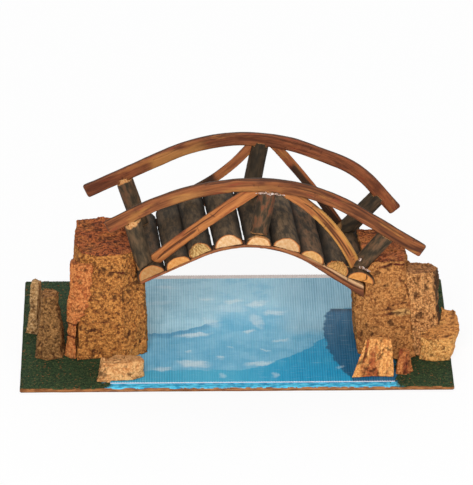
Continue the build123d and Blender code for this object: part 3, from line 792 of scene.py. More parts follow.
def shapeStick(node, look, seed, axis, side):
    piece, mesh, co, normal = carved(node, look["voxel"], 2)
    run, across, deep, tangent = stickGrain(co, axis, side)
    length = np.ptp(run)
    half = np.ptp(across) / 2
    share = (run - run.min()) / length
    wide = across / half
    rng = np.random.default_rng(seed)
    grain = np.stack((run + seed * 0.31, across, deep), axis=1)
    split = ramp(-normal[:, 1], 0.35, 0.7)
    endGap = np.minimum(run - run.min(), run.max() - run)
    onEnd = ramp(np.abs((normal * tangent).sum(1)), 0.55, 0.8) * ramp(endGap, 3 * mm, 1.5 * mm)
    long = grain / (12, 1, 1)
    fibres = cloud(long, 0.75 * mm, seed) * 0.45 + cloud(long / (2, 1, 1), 1.7 * mm, seed + 3) * 0.6
    furrows = 0.6 * cloud(grain / (7, 1, 1), 1.1 * mm, seed + 5)
    furrows += 0.8 * swells(grain / (2.5, 1, 1), 3.4 * mm, seed + 9)
    hollow = split * fibres + (1 - split) * furrows
    # long cracks: place, width and depth, and where they start and stop in shares of the length
    wander = 0.14 * cloud(np.stack((run, 0 * run, 0 * run), axis=1), 9 * mm, seed + 17)
    for place, width, depth, start, stop in look["grooves"]:
        crack = np.exp(-(((wide - place - wander) * half / width) ** 2))
        hollow -= split * depth * crack * between(share, start, stop, 0.04)
    for nick in rng.uniform(0.03, 0.97, look["nicks"]):  # short cracks across the fibres
        bottom = rng.uniform(-1.1, 0.8)
        top = bottom + rng.uniform(0.3, 0.9)
        lean = run - run.min() - nick * length - across * rng.uniform(-0.4, 0.4)
        crosswise = ramp(wide, bottom - 0.15, bottom + 0.1) * ramp(wide, top + 0.15, top - 0.1)
        hollow -= split * crosswise * np.exp(-((lean / look["nickWidth"]) ** 2)) * rng.uniform(0.4, 1.0)
    knob = np.zeros(len(co))
    stain = np.zeros(len(co))
    for at, place, height in look["knots"]:
        away = np.sqrt(((share - at) * length) ** 2 / 3 + (across - half * place) ** 2)
        knob += height * np.exp(-((away / (1.7 * mm)) ** 2))
        ring = 0.3 * np.exp(-(((away - 1.0 * mm) / (0.3 * mm)) ** 2))
        ring += 0.75 * np.exp(-((away / (0.55 * mm)) ** 2))
        stain = np.maximum(stain, split * ring)
    fuller = look["swell"] * ramp(np.abs(wide), 0.5, 0.9) * (1 - onEnd)
    carve = (hollow - 0.4) * look["relief"] * (1 - 0.6 * onEnd)
    moved(mesh, co + normal * (carve + knob + fuller)[:, None])
    ragged = share + 0.05 * swells(grain / (2, 1, 1), 6 * mm, seed + 8)
    wavy = wide + 0.35 * cloud(grain / (4, 1, 1), 4 * mm, seed + 6)
    glow = np.zeros(len(co))
    for limits, strength in look["paleBands"]:
        glow = np.maximum(glow, strength * band(ragged, wavy, limits))
    for limits, strength in look["darkBands"]:
        stain = np.maximum(stain, strength * band(ragged, wavy, limits))
    mark(
        mesh, grain=grain, splitFace=split, hollow=np.clip(hollow, -1.5, 1.5) * (1 - onEnd),
        edgeLine=split * ramp(wide + 0.1 * cloud(grain, 5 * mm, seed + 4), 0.82, 0.97),
        glow=glow, stain=stain, cutEnd=onEnd * 0.85,
    )
    return piece


stickLook = {
    "voxel": 0.5 * mm,
    "relief": 0.20 * mm,
    "swell": 0.0,  # added on both sides
    "fibreDepth": 0.22 * mm,
    "gleam": 0.2,
    "grooves": (),
    "nicks": 6,
    "nickWidth": 0.24 * mm,
    "knots": (),
    "streaks": 0.3,
    "patches": 0.75,
    "paleBands": (),
    "darkBands": (),
    "hollowShadeAmount": 0.8,
    "rustiness": 0.6,
    "pale": paint(154, 91, 50),
    "deep": paint(100, 55, 31),
    "ochre": paint(174, 116, 58),
    "red": paint(140, 66, 40),
    "skin": paint(92, 62, 42),
    "skinDeep": paint(56, 38, 26),
    "line": paint(70, 38, 24),
    "glow": paint(206, 146, 78),
    "stain": paint(84, 42, 28),
    "end": paint(120, 74, 46),
    # painted shade in the hollows, and the paler colour of the ridges
    "hollowShade": paint(66, 34, 20),
    "ridgePale": paint(204, 146, 92),
}

flatAxes = ((1, 0, 0), (0, 0, 1))  # along and across a stick that lies flat


def braceAxes(node):  # from the foot of a brace to its head, and across it
    low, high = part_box(node)
    rise = 1 if "left" in node else -1
    axis = rise * np.array((high.x - low.x, 0, rise * (high.z - low.z)))
    return axis, rise * np.array((-axis[2], 0, axis[0]))


def buildSticks(shared, looks):
    for number, (node, own) in enumerate(looks.items()):
        look = {**shared, **own}
        axes = braceAxes(node) if "brace" in node else flatAxes
        piece = shapeStick(node, look, look["seed"] + number, *axes)
        settle(piece, stickFinish(node + "Wood", look), "twig", node)


allAcross = (-3, 3)
railLook = {**stickLook, "streaks": 0.75, "seed": 20}
railLooks = {
    "front_handrail": {
        "nicks": 14,
        "grooves": (
            (0.72, 0.4 * mm, 1.2, 0.34, 0.60), (0.1, 0.3 * mm, 0.9, 0.5, 0.7),
            (0.35, 0.28 * mm, 0.8, 0.10, 0.34), (-0.3, 0.28 * mm, 0.7, 0.55, 0.92),
            (-0.6, 0.3 * mm, 0.7, 0.2, 0.45), (0.5, 0.3 * mm, 0.8, 0.66, 0.95),
        ),
        "knots": (
            (0.10, 0.25, 0.25 * mm), (0.125, -0.35, 0.2 * mm),
            (0.165, 0.1, 0.2 * mm), (0.47, 0.4, 0.35 * mm),
        ),
        "paleBands": (((0.20, 0.30, -0.9, 0.3), 0.35), ((0.40, 0.52, -1.0, 0.0), 0.3)),
        "end": paint(72, 58, 52),
    },
    "rear_handrail": {
        "nicks": 12,
        "grooves": (
            (0.35, 0.4 * mm, 0.9, 0.20, 0.45), (-0.2, 0.3 * mm, 0.8, 0.5, 0.8),
            (0.6, 0.3 * mm, 0.9, 0.4, 0.7),
        ),
        "pale": paint(148, 84, 50),
        "deep": paint(90, 48, 30),
        "ochre": paint(164, 104, 56),
        "knots": ((0.62, 0.4, 0.35 * mm), (0.13, 0.1, 0.2 * mm)),
        "paleBands": (((0.18, 0.36, -0.9, 0.4), 0.45),),
        "darkBands": (((0.0, 0.10, *allAcross), 0.25),),
    },
}
buildSticks(railLook, railLooks)
print("handrails carved")

braceLook = {**stickLook, "voxel": 0.4 * mm, "relief": 0.17 * mm, "seed": 30}
braceLooks = {
    "front_left_brace": {
        "grooves": ((-0.1, 0.5 * mm, 2.4, 0.04, 0.40), (0.35, 0.35 * mm, 0.9, 0.3, 0.9)),
        "pale": paint(196, 124, 66),
        "deep": paint(150, 84, 46),
        "darkBands": (((-0.1, 0.03, *allAcross), 0.5),),
    },
    "front_right_brace": {
        "swell": 0.6 * mm,
        "grooves": (
            (0.0, 0.28 * mm, 1.7, 0.12, 0.74), (-0.45, 0.25 * mm, 0.9, 0.1, 0.5),
            (0.5, 0.25 * mm, 0.8, 0.4, 0.9),
        ),
        "pale": paint(196, 126, 68),
        "deep": paint(146, 84, 46),
        "paleBands": (((0.0, 0.6, 0.6, 3.0), 0.45), ((0.0, 0.6, -3.0, -0.65), 0.45)),
        "glow": paint(224, 166, 84),
    },
    "rear_left_brace": {
        "pale": paint(168, 102, 60),
        "deep": paint(118, 66, 40),
        "stain": paint(44, 32, 25),
        "darkBands": (((-0.3, 0.66, *allAcross), 0.92),),
    },
    "rear_right_brace": {
        "pale": paint(166, 96, 54),
        "deep": paint(112, 60, 36),
        "stain": paint(42, 31, 24),
        "darkBands": (((-0.3, 0.74, -3.0, 0.45), 0.92),),
    },
}
buildSticks(braceLook, braceLooks)
print("braces carved")

stringerLook = {
    **stickLook,
    "seed": 40,
    "voxel": 0.56 * mm,
    "nicks": 10,
    "relief": 0.16 * mm,
    "pale": paint(172, 108, 64),
    "deep": paint(120, 66, 40),
    "grooves": (
        (0.3, 0.35 * mm, 1.6, 0.02, 0.45), (-0.1, 0.35 * mm, 1.3, 0.45, 0.72),
        (0.1, 0.4 * mm, 1.8, 0.72, 1.0),
    ),
    "paleBands": (((0.74, 1.2, 0.25, 3.0), 0.85),),
    "darkBands": (((0.70, 1.2, -3.0, -0.45), 0.7), ((0.78, 1.2, -0.05, 0.2), 0.6)),
    "glow": paint(226, 180, 132),
    "stain": paint(82, 40, 27),
    "skin": paint(120, 76, 48),
    "skinDeep": paint(82, 50, 32),
}
buildSticks(stringerLook, {"front_stringer": {}, "rear_stringer": {}})
print("stringers carved")


# Half-round logs: dull bark, pale sawn ends with rings and a thin rim
logLook = {
    "voxel": 0.55 * mm,
    "relief": 0.20 * mm,
    "swell": 0.85 * mm,  # bark that bulges over the sides
    "lumps": 0.25 * mm,
    "tornDepth": 1.5 * mm,
    "crackDepth": 1.2 * mm,
    "chipDepth": 0.35 * mm,
    "bump": 0.2 * mm,
    "hollowShadeAmount": 0.5,
    "seed": 50,
    "bark": paint(98, 80, 58),
    "barkDeep": paint(58, 49, 37),
    "barkPale": paint(122, 98, 70),
    "rust": paint(126, 75, 50),
    # painted shade laid on the sides of each log, between neighbours
    "gap": paint(26, 22, 17),
    "flat": paint(176, 118, 72),
    "flatDeep": paint(126, 76, 44),
    "flatRed": paint(140, 72, 44),
    "bare": paint(218, 170, 112),
    "rim": paint(190, 116, 62),
    "rimDark": paint(58, 38, 26),
    "endShade": paint(232, 208, 178),
    "ochreDeep": paint(160, 114, 58),
    # painted shade in the hollows, and the paler colour of the ridges
    "hollowShade": paint(34, 28, 20),
    "ridgePale": paint(122, 98, 72),
    # for each log from the left: colour of the sawn end, bark's paleness, rustiness
    "ends": (
        paint(190, 145, 95), paint(226, 166, 100), paint(216, 180, 118),
        paint(238, 202, 158), paint(238, 198, 148), paint(224, 186, 142),
        paint(226, 180, 120), paint(206, 152, 88), paint(226, 160, 88),
    ),
    "paleness": (0.25, 0.0, 0.2, 0.25, 0.3, 0.85, 0.75, 0.2, 0.25),
    "rusty": (0.25, 0.1, 0.05, 0.05, 0.15, 0.1, 0.45, 0.1, 0.2),
    "frayed": (3, 8),
    "cracked": 9,
    "chipped": 5,
    "redKnot": (2, (-36.8, -10.0, 78.2), (3.4, 4.5, 3.0)),
}


def logFinish():
    look = logLook
    material, tree, shader = newMaterial("roundLog", 0.78)
    grain = kept(tree, "grain", "Vector")
    mid = blend(tree, kept(tree, "paleness"), look["bark"], look["barkPale"])
    skin = placed(tree, barkSkin, {
        "Grain": grain, "Deep": look["barkDeep"], "Mid": mid, "Rust": look["rust"],
        "Rustiness": kept(tree, "rusty"),
    })
    flat = placed(tree, fibreGrain, {
        "Grain": grain, "Pale": look["flat"], "Deep": look["flatDeep"], "Ochre": look["bare"],
        "Red": look["flatRed"], "Streaks": 0.5, "Patches": 0.4,
    })
    colour = blend(tree, kept(tree, "underside"), skin["Colour"], flat["Colour"])
    colour = withHollowShadeAndRidges(tree, colour, look)
    # painted shade darkens the bark's sides where the logs meet
    colour = blend(tree, kept(tree, "gap"), colour, look["gap"])
    fuzz = speckle(tree, stretch(tree, grain, 900, 2600, 2600), 1.0, 2.0)
    torn = blend(tree, ease(tree, fuzz, 0.38, 0.6), look["rim"], look["bare"])
    colour = blend(tree, kept(tree, "bare"), colour, torn)
    face = kept(tree, "rings", "Vector")
    rings = put(tree, "ShaderNodeTexWave", {
        "Vector": face, "Scale": 2.6, "Distortion": 2.2, "Detail": 3.0, "Detail Scale": 2.0,
    }, wave_type="RINGS", rings_direction="SPHERICAL").outputs["Fac"]
    mottle = speckle(tree, stretch(tree, face, 0.55, 0.45, 0.02), 1.0, 4.0, 0.65)
    pricks = speckle(tree, stretch(tree, face, 2.6, 2.2, 0.02), 1.0, 2.0)
    tint = kept(tree, "endTint", "Vector")
    darker = blend(tree, 1.0, tint, look["endShade"], "MULTIPLY")
    sawn = blend(tree, ease(tree, mottle, 0.34, 0.66), darker, tint)
    sawn = blend(tree, ease(tree, rings, 0.3, 0.9, 0.0, 0.35), sawn, darker)
    sawn = blend(tree, ease(tree, pricks, 0.56, 0.7, 0.0, 0.4), sawn, look["rim"])
    strands = speckle(tree, stretch(tree, face, 1.3, 0.4, 0.0), 1.0, 3.0, 0.7)
    ragged = blend(tree, ease(tree, strands, 0.40, 0.58), look["ochreDeep"], tint)
    ragged = blend(tree, ease(tree, strands, 0.38, 0.30, 0.0, 0.7), ragged, look["rimDark"])
    sawn = blend(tree, kept(tree, "torn"), sawn, ragged)
    sawn = blend(tree, ease(tree, kept(tree, "rim"), 0.86, 0.94), sawn, look["rim"])
    sawn = blend(tree, ease(tree, kept(tree, "rim"), 0.95, 0.99), sawn, look["rimDark"])
    # painted shade in the deepest cracks and torn pits of the sawn ends
    sawn = blend(tree, ease(tree, kept(tree, "hollow"), -0.6, -1.3), sawn, look["rimDark"])
    colour = blend(tree, kept(tree, "cutEnd"), colour, sawn)
    height = calc(tree, "ADD", skin["Height"], times(tree, strands, kept(tree, "torn")))
    rough = ease(tree, skin["Height"], 0.3, 0.7, 0.86, 0.72)
    finishWith(tree, shader, colour, height, look["bump"], rough)
    return material


def logShape(node):  # middle of the flat side at both ends, with half its width and its height
    solid = places(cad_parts[node].data)
    ends = []
    for y in (solid[:, 1].min(), solid[:, 1].max()):
        rim = solid[np.abs(solid[:, 1] - y) < 0.01 * mm]
        gap = np.linalg.norm(rim[:, None] - rim[None], axis=2)
        first, second = np.unravel_index(gap.argmax(), gap.shape)
        left, right = sorted((rim[first], rim[second]), key=lambda p: p[0])
        width = np.linalg.norm(right - left)
        side = (right - left) / width
        up = np.array((-side[2], 0, side[0]))
        ends.append(((left + right) / 2, width / 2, ((rim - left) @ up).max(), side, up))
    return ends


def shapeLog(number):
    look = logLook
    node = f"deck_log_{number}"
    piece, mesh, co, normal = carved(node, look["voxel"], 2)
    (front, half, tall, side, up), (rear, rearHalf, rearTall, _, _) = logShape(node)
    share = np.clip((co[:, 1] - front[1]) / (rear[1] - front[1]), 0, 1)
    away = co - (front + share[:, None] * (rear - front))
    u = away @ side / (half + share * (rearHalf - half))
    v = away @ up / (tall + share * (rearTall - tall))
    reach = np.hypot(u, v)
    run = share * np.linalg.norm(rear - front)
    around = np.arctan2(v, u)
    seed = look["seed"] + number
    grain = np.stack((run + number * 0.37, around * half, reach * tall * 0.3), axis=1)
    onEnd = ramp(np.abs(normal[:, 1]), 0.55, 0.8)
    underside = ramp(-(normal @ up), 0.55, 0.8) * (1 - onEnd)
    furrows = 0.5 * cloud(grain / (6, 1, 1), 1.0 * mm, seed)
    furrows += 0.7 * swells(grain / (4, 1, 1), 3.6 * mm, seed + 3)
    lumps = cloud(grain / (2, 1, 1), 11 * mm, seed + 6)
    hollow = furrows * (1 - onEnd)
    push = (hollow - 0.3) * look["relief"] + (lumps - 0.4) * look["lumps"] * (1 - onEnd)
    push += look["swell"] * ramp(np.abs(u), 0.5, 0.9) * (1 - onEnd) * (1 - underside)
    face = np.stack((u * half, v * tall, 0 * u), axis=1)
    atFront = onEnd * (normal[:, 1] < 0)
    torn = np.zeros(len(co))
    if number in look["frayed"]:  # broken, not sawn: the fibres end at different depths
        own = crumbs(face * (1, 0.45, 1), 0.85 * mm, seed)[1]
        slant = ramp(u, 0.7, -0.9)
        back = atFront * (own * look["tornDepth"] * (0.5 + slant) + 0.2 * mm)
        torn = atFront
        hollow = hollow + atFront * (0.3 - 1.1 * own)
    else:
        back = atFront * 0.22 * mm * (swells(face, 2.4 * mm, seed + 11) + 0.6)
    if number == look["cracked"]:  # a curved split from the rim to the flat side
        line = u - 0.42 + 0.22 * (v - 0.5) ** 2 * 4 - 0.06 * cloud(face, 1.6 * mm, seed + 13)
        crack = atFront * np.exp(-((line / 0.05) ** 2))
        back += crack * look["crackDepth"]
        hollow -= 2.2 * crack
    bare = np.zeros(len(co))
    if number == look["chipped"]:  # bark broken off above the sawn end
        chip = run / mm + 1.6 * swells(face, 2.5 * mm, seed + 17)
        bare = (1 - onEnd) * ramp(chip, 2.2, 1.2) * ramp(v, 0.45, 0.75)
        push = push - look["chipDepth"] * bare
    shifted = co + normal * push[:, None]
    shifted[:, 1] += back
    moved(mesh, shifted)
    rng = np.random.default_rng(seed)
    heartX = u * half / mm - rng.uniform(-1, 1)
    heartZ = v * tall / mm + rng.uniform(-0.4, 0.6)
    heart = np.stack((heartX, heartZ, run * 40), axis=1)
    rusty = np.full(len(co), look["rusty"][number - 1])
    knotted, knotPlace, knotSize = look["redKnot"]
    if number == knotted:
        rusty = np.maximum(rusty, 2.0 * spot(co, knotPlace, knotSize, seed))
    mark(
        mesh, grain=grain, rings=heart, rim=reach + 0.03 * cloud(face, 2.5 * mm, seed + 15),
        cutEnd=onEnd, torn=torn, bare=bare, underside=underside,
        # painted shade on the sides of the bark, towards the neighbouring logs
        gap=0.8 * ramp(np.abs(u), 0.5, 1.0) * (1 - onEnd) * (1 - underside),
        hollow=np.clip(hollow, -1.5, 1.5), rusty=rusty,
        paleness=np.full(len(co), look["paleness"][number - 1]),
        endTint=np.tile(look["ends"][number - 1][:3], (len(co), 1)),
    )
    return piece


logMaterial = logFinish()
for number in range(1, len(logLook["ends"]) + 1):
    settle(shapeLog(number), logMaterial, "log", f"deck_log_{number}")
print("deck logs carved")


# Loose splinters on the rims of the two broken logs: angles from the right, in degrees
splinterLook = {
    "spread": {3: (70, 170), 8: (40, 150)},
    "count": 22,
    "length": (1.6 * mm, 4.2 * mm),
    "width": 0.34 * mm,
    "pale": paint(226, 190, 124),
    "deep": paint(172, 118, 60),
    "rooted": 1.6 * mm,  # how far behind the sawn end they start
    "bump": 0.1 * mm,
    "seed": 70,
}


def splinterFinish():
    look = splinterLook
    material, tree, shader = newMaterial("splinterWood", 0.7)
    place = ownPlace(tree)
    fibre = speckle(tree, stretch(tree, place, 1800, 500, 1800), 1.0, 3.0)
    colour = blend(tree, ease(tree, fibre, 0.36, 0.64), look["deep"], look["pale"])
    finishWith(tree, shader, colour, fibre, look["bump"])
    return material


def buildSplinters():
    look = splinterLook
    material = splinterFinish()
    for number, spread in look["spread"].items():
        rng = np.random.default_rng(look["seed"] + number)
        front, half, tall, side, up = logShape(f"deck_log_{number}")[0]
        verts, faces = [], []
        for _ in range(look["count"]):
            around = math.radians(rng.uniform(*spread))
            reach = rng.uniform(0.72, 0.96)
            outward = side * math.cos(around) * half + up * math.sin(around) * tall
            root = front + outward * reach + np.array((0, look["rooted"], 0))
            lean = np.array((0, -1.0, 0)) + outward / np.linalg.norm(outward) * rng.uniform(-0.1, 0.55)
            lean += side * rng.uniform(-0.3, 0.2)
            lean /= np.linalg.norm(lean)
            long = rng.uniform(*look["length"])
            width = look["width"] * rng.uniform(0.6, 1.3)
            cross = np.cross(lean, rng.normal(size=3))
            cross /= np.linalg.norm(cross)
            other = np.cross(lean, cross) * 0.6
            start = len(verts)
            for at, thick in ((0, 1.0), (0.6, 0.75)):
                middle = root + lean * long * at
                verts += [middle + width * thick * way for way in (cross, other, -cross, -other)]
            verts.append(root + lean * long)
            faces.append((start + 3, start + 2, start + 1, start))
            for k in range(4):
                after = (k + 1) % 4
                faces.append((start + k, start + after, start + 4 + after, start + 4 + k))
                faces.append((start + 4 + k, start + 4 + after, start + 8))
        mesh = bpy.data.meshes.new(f"deck_log_{number}_splinters")
        mesh.from_pydata([tuple(v) for v in verts], [], faces)
        piece = settle(newPiece(mesh.name, mesh), material, "log")
        piece.data.shade_flat()


buildSplinters()
print("splinters set")


# Posts: short half-round logs, bark to the front; for each its rust at foot and head, its paleness,
# and how deep the bark is broken off at head and foot, between two shares of its half width
postLook = {
    "voxel": 0.45 * mm,
    "relief": 0.20 * mm,
    "lumps": 0.2 * mm,
    "chipDepth": 0.25 * mm,
    "strips": 24,  # how finely the width is divided to find head and foot
    "seed": 80,
    "cut": paint(196, 146, 94),
    "posts": {
        "front_left_post": (0.1, 0.15, 0.3, 0.4 * mm, 1.2 * mm, (-1.4, 0.35)),
        "front_king_post": (1.0, 1.7, 0.6, 0.4 * mm, 1.6 * mm, (-1.4, 1.4)),
        "front_right_post": (0.5, 0.45, 0.45, 0.0, 0.0, (-1.4, 1.4)),
        "rear_left_post": (0.15, 0.5, 0.3, 2.8 * mm, 0.0, (-1.4, 1.4)),
        "rear_king_post": (0.0, 0.1, -0.5, 0.0, 0.0, (-1.4, 1.4)),
        "rear_right_post": (0.05, 0.1, -0.3, 0.0, 0.0, (-1.4, 1.4)),
    },
    # bark broken off under the rail: middle and sizes of each spot in millimetres
    "broken": {
        "front_left_post": (
            ((-62.4, -31, 85.4), (3.4, 7, 2.0)), ((-59.6, -31, 87.0), (3.4, 7, 2.0)),
            ((-56.8, -31, 88.8), (3.2, 7, 1.8)),
        ),
    },
}


def shapePost(node, seed):
    look = postLook
    rustFoot, rustHead, paleness, headBare, footBare, bareSides = look["posts"][node]
    piece, mesh, co, normal = carved(node, look["voxel"], 2)
    spread = co - co.mean(0)
    axis = np.linalg.svd(spread, full_matrices=False)[2][0]
    axis *= np.sign(axis[2])
    side = np.cross((0, 1, 0), axis)
    side /= np.linalg.norm(side)
    run, across, deep, tangent = stickGrain(co, axis, side)
    grain = np.stack((run + seed * 0.29, across, deep), axis=1)
    share = (run - run.min()) / np.ptp(run)
    wide = across / (np.ptp(across) / 2)
    # how far each point is from the head and the foot, measured along the post at its own width
    strips = look["strips"]
    slices = np.clip(((wide + 1) * strips / 2).astype(int), 0, strips - 1)
    inStrip = [run[slices == k] if (slices == k).any() else run for k in range(strips)]
    heads = np.array([part.max() for part in inStrip])
    feet = np.array([part.min() for part in inStrip])
    headGap, footGap = heads[slices] - run, run - feet[slices]
    flatBack = ramp(normal[:, 1], 0.6, 0.85)
    nearEnd = ramp(np.minimum(headGap, footGap), 5 * mm, 2 * mm)
    onEnd = ramp(np.abs((normal * tangent).sum(1)), 0.45, 0.7) * nearEnd
    furrows = 0.55 * cloud(grain / (6, 1, 1), 1.0 * mm, seed)
    furrows += 0.7 * swells(grain / (3, 1, 1), 3.2 * mm, seed + 3)
    hollow = furrows * (1 - onEnd)
    chip = 0.8 * mm * swells(grain / (1.5, 1, 1), 2.6 * mm, seed + 7)
    bare = np.maximum(ramp(headGap + chip, headBare + 0.3 * mm, headBare - 0.3 * mm),
                      ramp(footGap + chip, footBare + 0.3 * mm, footBare - 0.3 * mm))
    bare *= between(wide, *bareSides, 0.1) * (1 - flatBack) * (headBare + footBare > 0)
    for middle, sizes in look["broken"].get(node, ()):
        bare = np.maximum(bare, spot(co, middle, sizes, seed + 11))
    lumps = cloud(grain, 9 * mm, seed + 5)
    push = (hollow - 0.3) * look["relief"] + (lumps - 0.3) * look["lumps"] * (1 - onEnd)
    moved(mesh, co + normal * (push - look["chipDepth"] * bare)[:, None])
    upwards = ramp(share + 0.15 * swells(grain, 7 * mm, seed + 9), 0.3, 0.8)
    count = len(co)
    mark(
        mesh, grain=grain, rings=np.stack((across / mm, deep / mm, run * 0), axis=1),
        rim=np.full(count, 0.5), cutEnd=onEnd, torn=onEnd * 0.4, bare=bare,
        # a negative paleness darkens the whole post with the logs' gap colour
        underside=flatBack * (1 - onEnd), gap=np.full(count, max(0.0, -paleness)),
        hollow=np.clip(hollow, -1.5, 1.5), rusty=rustFoot + (rustHead - rustFoot) * upwards,
        paleness=np.full(count, max(0.0, paleness)), endTint=np.tile(look["cut"][:3], (count, 1)),
    )
    return piece


for number, node in enumerate(postLook["posts"]):
    settle(shapePost(node, postLook["seed"] + number), logMaterial, "log", node)
print("posts carved")


# Cork banks: granular torn lumps with pores and growth lines, darker on top
corkLook = {
    "voxel": 0.7 * mm,
    "small": (20 * mm, 0.62),  # pieces thinner than this are cut finer, by this share
    "soften": 6,
    "lumps": 1.2 * mm,
    "chunks": 0.5 * mm,
    "grains": 0.55 * mm,
    "pits": 0.8 * mm,
    "lineDepth": 0.6 * mm,
    "bump": 0.5 * mm,
    "hollowShadeAmount": 0.8,
    "seed": 100,
    "lineGap": 0.0,  # even spacing of growth lines, none where it is zero
    "lineTilt": (0.10, 0.05),
    # single growth lines: height at the first x, rise, first and last x, half thickness, strength
    "layers": (),
    # hollows: middle and sizes, with how far they go in; pale breaks: middle and sizes
    # the hollows are also painted near-black inside, as painted shade
    "hollows": (),
    "breaks": (),
    "pores": 0.8,
    "topDark": 0.75,
    "redStreaks": 0.0,
    "closing": 0.0,  # added on the left side, to shut the seam to the next piece
    "lean": 0.0,  # how far the left side leans in at the top
    "pale": paint(214, 156, 92),
    "mid": paint(174, 114, 62),
    "deep": paint(98, 56, 32),
    "line": paint(96, 36, 28),
    "top": paint(142, 82, 48),
    "topDeep": paint(88, 44, 28),
    "bright": paint(232, 184, 118),
    # painted shade in the hollows, and the paler colour of the ridges
    "hollowShade": paint(70, 40, 24),
    "ridgePale": paint(222, 170, 108),
    # near-black: the dark side of the bark, and the painted shade inside the hollows
    "black": paint(34, 27, 22),
    "blackSide": None,
}
corkLooks = {
    "left_bank_block": {
        "pale": paint(216, 146, 74), "mid": paint(174, 106, 50), "topDark": 0.95,
        "top": paint(190, 100, 54), "topDeep": paint(82, 39, 26),
        "layers": (
            (56.0, -0.1, -74, -63, 0.45, 0.8), (38.0, 0.05, -90, -78, 0.4, 0.45),
            (24.0, 0.08, -86, -70, 0.4, 0.4),
        ),
        "hollows": (
            ((-61.5, -36, 57.5), (4.6, 7, 5.6), 2.6 * mm), ((-62.5, -35, 64), (4.0, 6, 1.6), 1.2 * mm),
        ),
    },
    "left_bank_slab": {
        "pale": paint(228, 148, 84), "mid": paint(204, 118, 62), "deep": paint(152, 70, 40),
        "lineGap": 8.5 * mm, "pores": 0.25, "topDark": 0.3,
    },
    "left_bank_boulder": {
        "pale": paint(176, 128, 76), "mid": paint(132, 90, 48), "deep": paint(78, 52, 30),
        "grains": 0.8 * mm, "voxel": 0.82 * mm, "soften": 12, "topDark": 0.3,
    },
    "left_bank_shard": {
        "pale": paint(214, 172, 120), "mid": paint(172, 128, 78), "deep": paint(110, 76, 44),
        "pores": 0.3, "topDark": 0.1, "lumps": 0.8 * mm,
    },
    "left_bank_chip": {
        "pale": paint(246, 190, 126), "mid": paint(228, 160, 98), "deep": paint(196, 124, 70),
        "pores": 0.1, "topDark": 0.1, "lumps": 1.0 * mm, "grains": 0.2 * mm, "chunks": 0.7 * mm,
    },
    "right_bank_block": {
        "pale": paint(212, 146, 82), "mid": paint(178, 114, 60), "deep": paint(124, 70, 38),
        "top": paint(204, 114, 62), "topDeep": paint(120, 60, 34), "bright": paint(214, 162, 98),
        "pores": 0.7, "topDark": 0.9,
        "layers": (
            (57.6, 0.115, 80, 101, 0.6, 1.0), (61.6, 0.06, 80, 99, 0.5, 0.8),
            (50.0, -0.9, 95, 100, 0.7, 0.9), (34.8, 0.14, 90, 101, 0.3, 0.5),
            (32.2, 0.06, 84, 98, 0.3, 0.45), (29.0, 0.10, 80, 103, 0.5, 0.7),
        ),
        "breaks": (((105.5, -38, 37.0), (4.5, 9, 6.0)), ((97.0, -38, 30.6), (7, 9, 2.4))),
    },
    "right_bank_bark": {
        "pale": paint(232, 168, 104), "mid": paint(190, 126, 72), "blackSide": (1, 0.1, 0.0),
        "pores": 0.7, "soften": 12, "topDark": 0.4, "closing": 2.4 * mm,
    },
    "right_bank_step": {
        "pale": paint(250, 190, 112), "mid": paint(236, 162, 86), "deep": paint(168, 102, 54),
        "top": paint(214, 140, 74), "topDeep": paint(148, 88, 46), "pores": 0.4,
    },
    "right_bank_chip": {
        "pale": paint(255, 186, 110), "mid": paint(240, 160, 86), "deep": paint(204, 120, 62),
        "line": paint(172, 80, 46), "bright": paint(248, 200, 128), "redStreaks": 0.65,
        "pores": 0.0, "topDark": 0.1, "lumps": 0.7 * mm, "chunks": 0.2 * mm, "grains": 0.12 * mm,
        "breaks": (((62.0, -52, 8), (5, 9, 6)),), "lean": 5.0 * mm,
    },
    "right_bank_back_chip": {
        "pale": paint(226, 150, 86), "mid": paint(198, 118, 62), "deep": paint(150, 76, 42),
        "line": paint(150, 64, 40), "redStreaks": 0.6, "pores": 0.2, "topDark": 0.1,
        "lumps": 0.5 * mm, "chunks": 0.2 * mm,
    },
}


def corkFinish(name, look):
    material, tree, shader = newMaterial(name, 0.9)
    place = ownPlace(tree)
    flesh = placed(tree, corkFlesh, {
        "Place": place, "Layers": kept(tree, "lines"), "Pale": look["pale"], "Mid": look["mid"],
        "Deep": look["deep"], "Line": look["line"], "Pores": look["pores"],
    })
    patch = speckle(tree, place, 90, 3.0)
    crown = times(tree, kept(tree, "crown"), ease(tree, patch, 0.3, 0.55, 0.6, 1.0))
    top = blend(tree, ease(tree, flesh["Tone"], 0.46, 0.78), look["topDeep"], look["top"])
    colour = blend(tree, crown, flesh["Colour"], top)
    bright = times(tree, kept(tree, "bright"), ease(tree, flesh["Tone"], 0.4, 0.66, 0.35, 1.0))
    colour = blend(tree, bright, colour, look["bright"])
    colour = withHollowShadeAndRidges(tree, colour, look)
    # near-black: dark bark on one side, painted shade in the hollows
    colour = blend(tree, kept(tree, "blackened"), colour, look["black"])
    finishWith(tree, shader, colour, flesh["Height"], look["bump"])
    return material


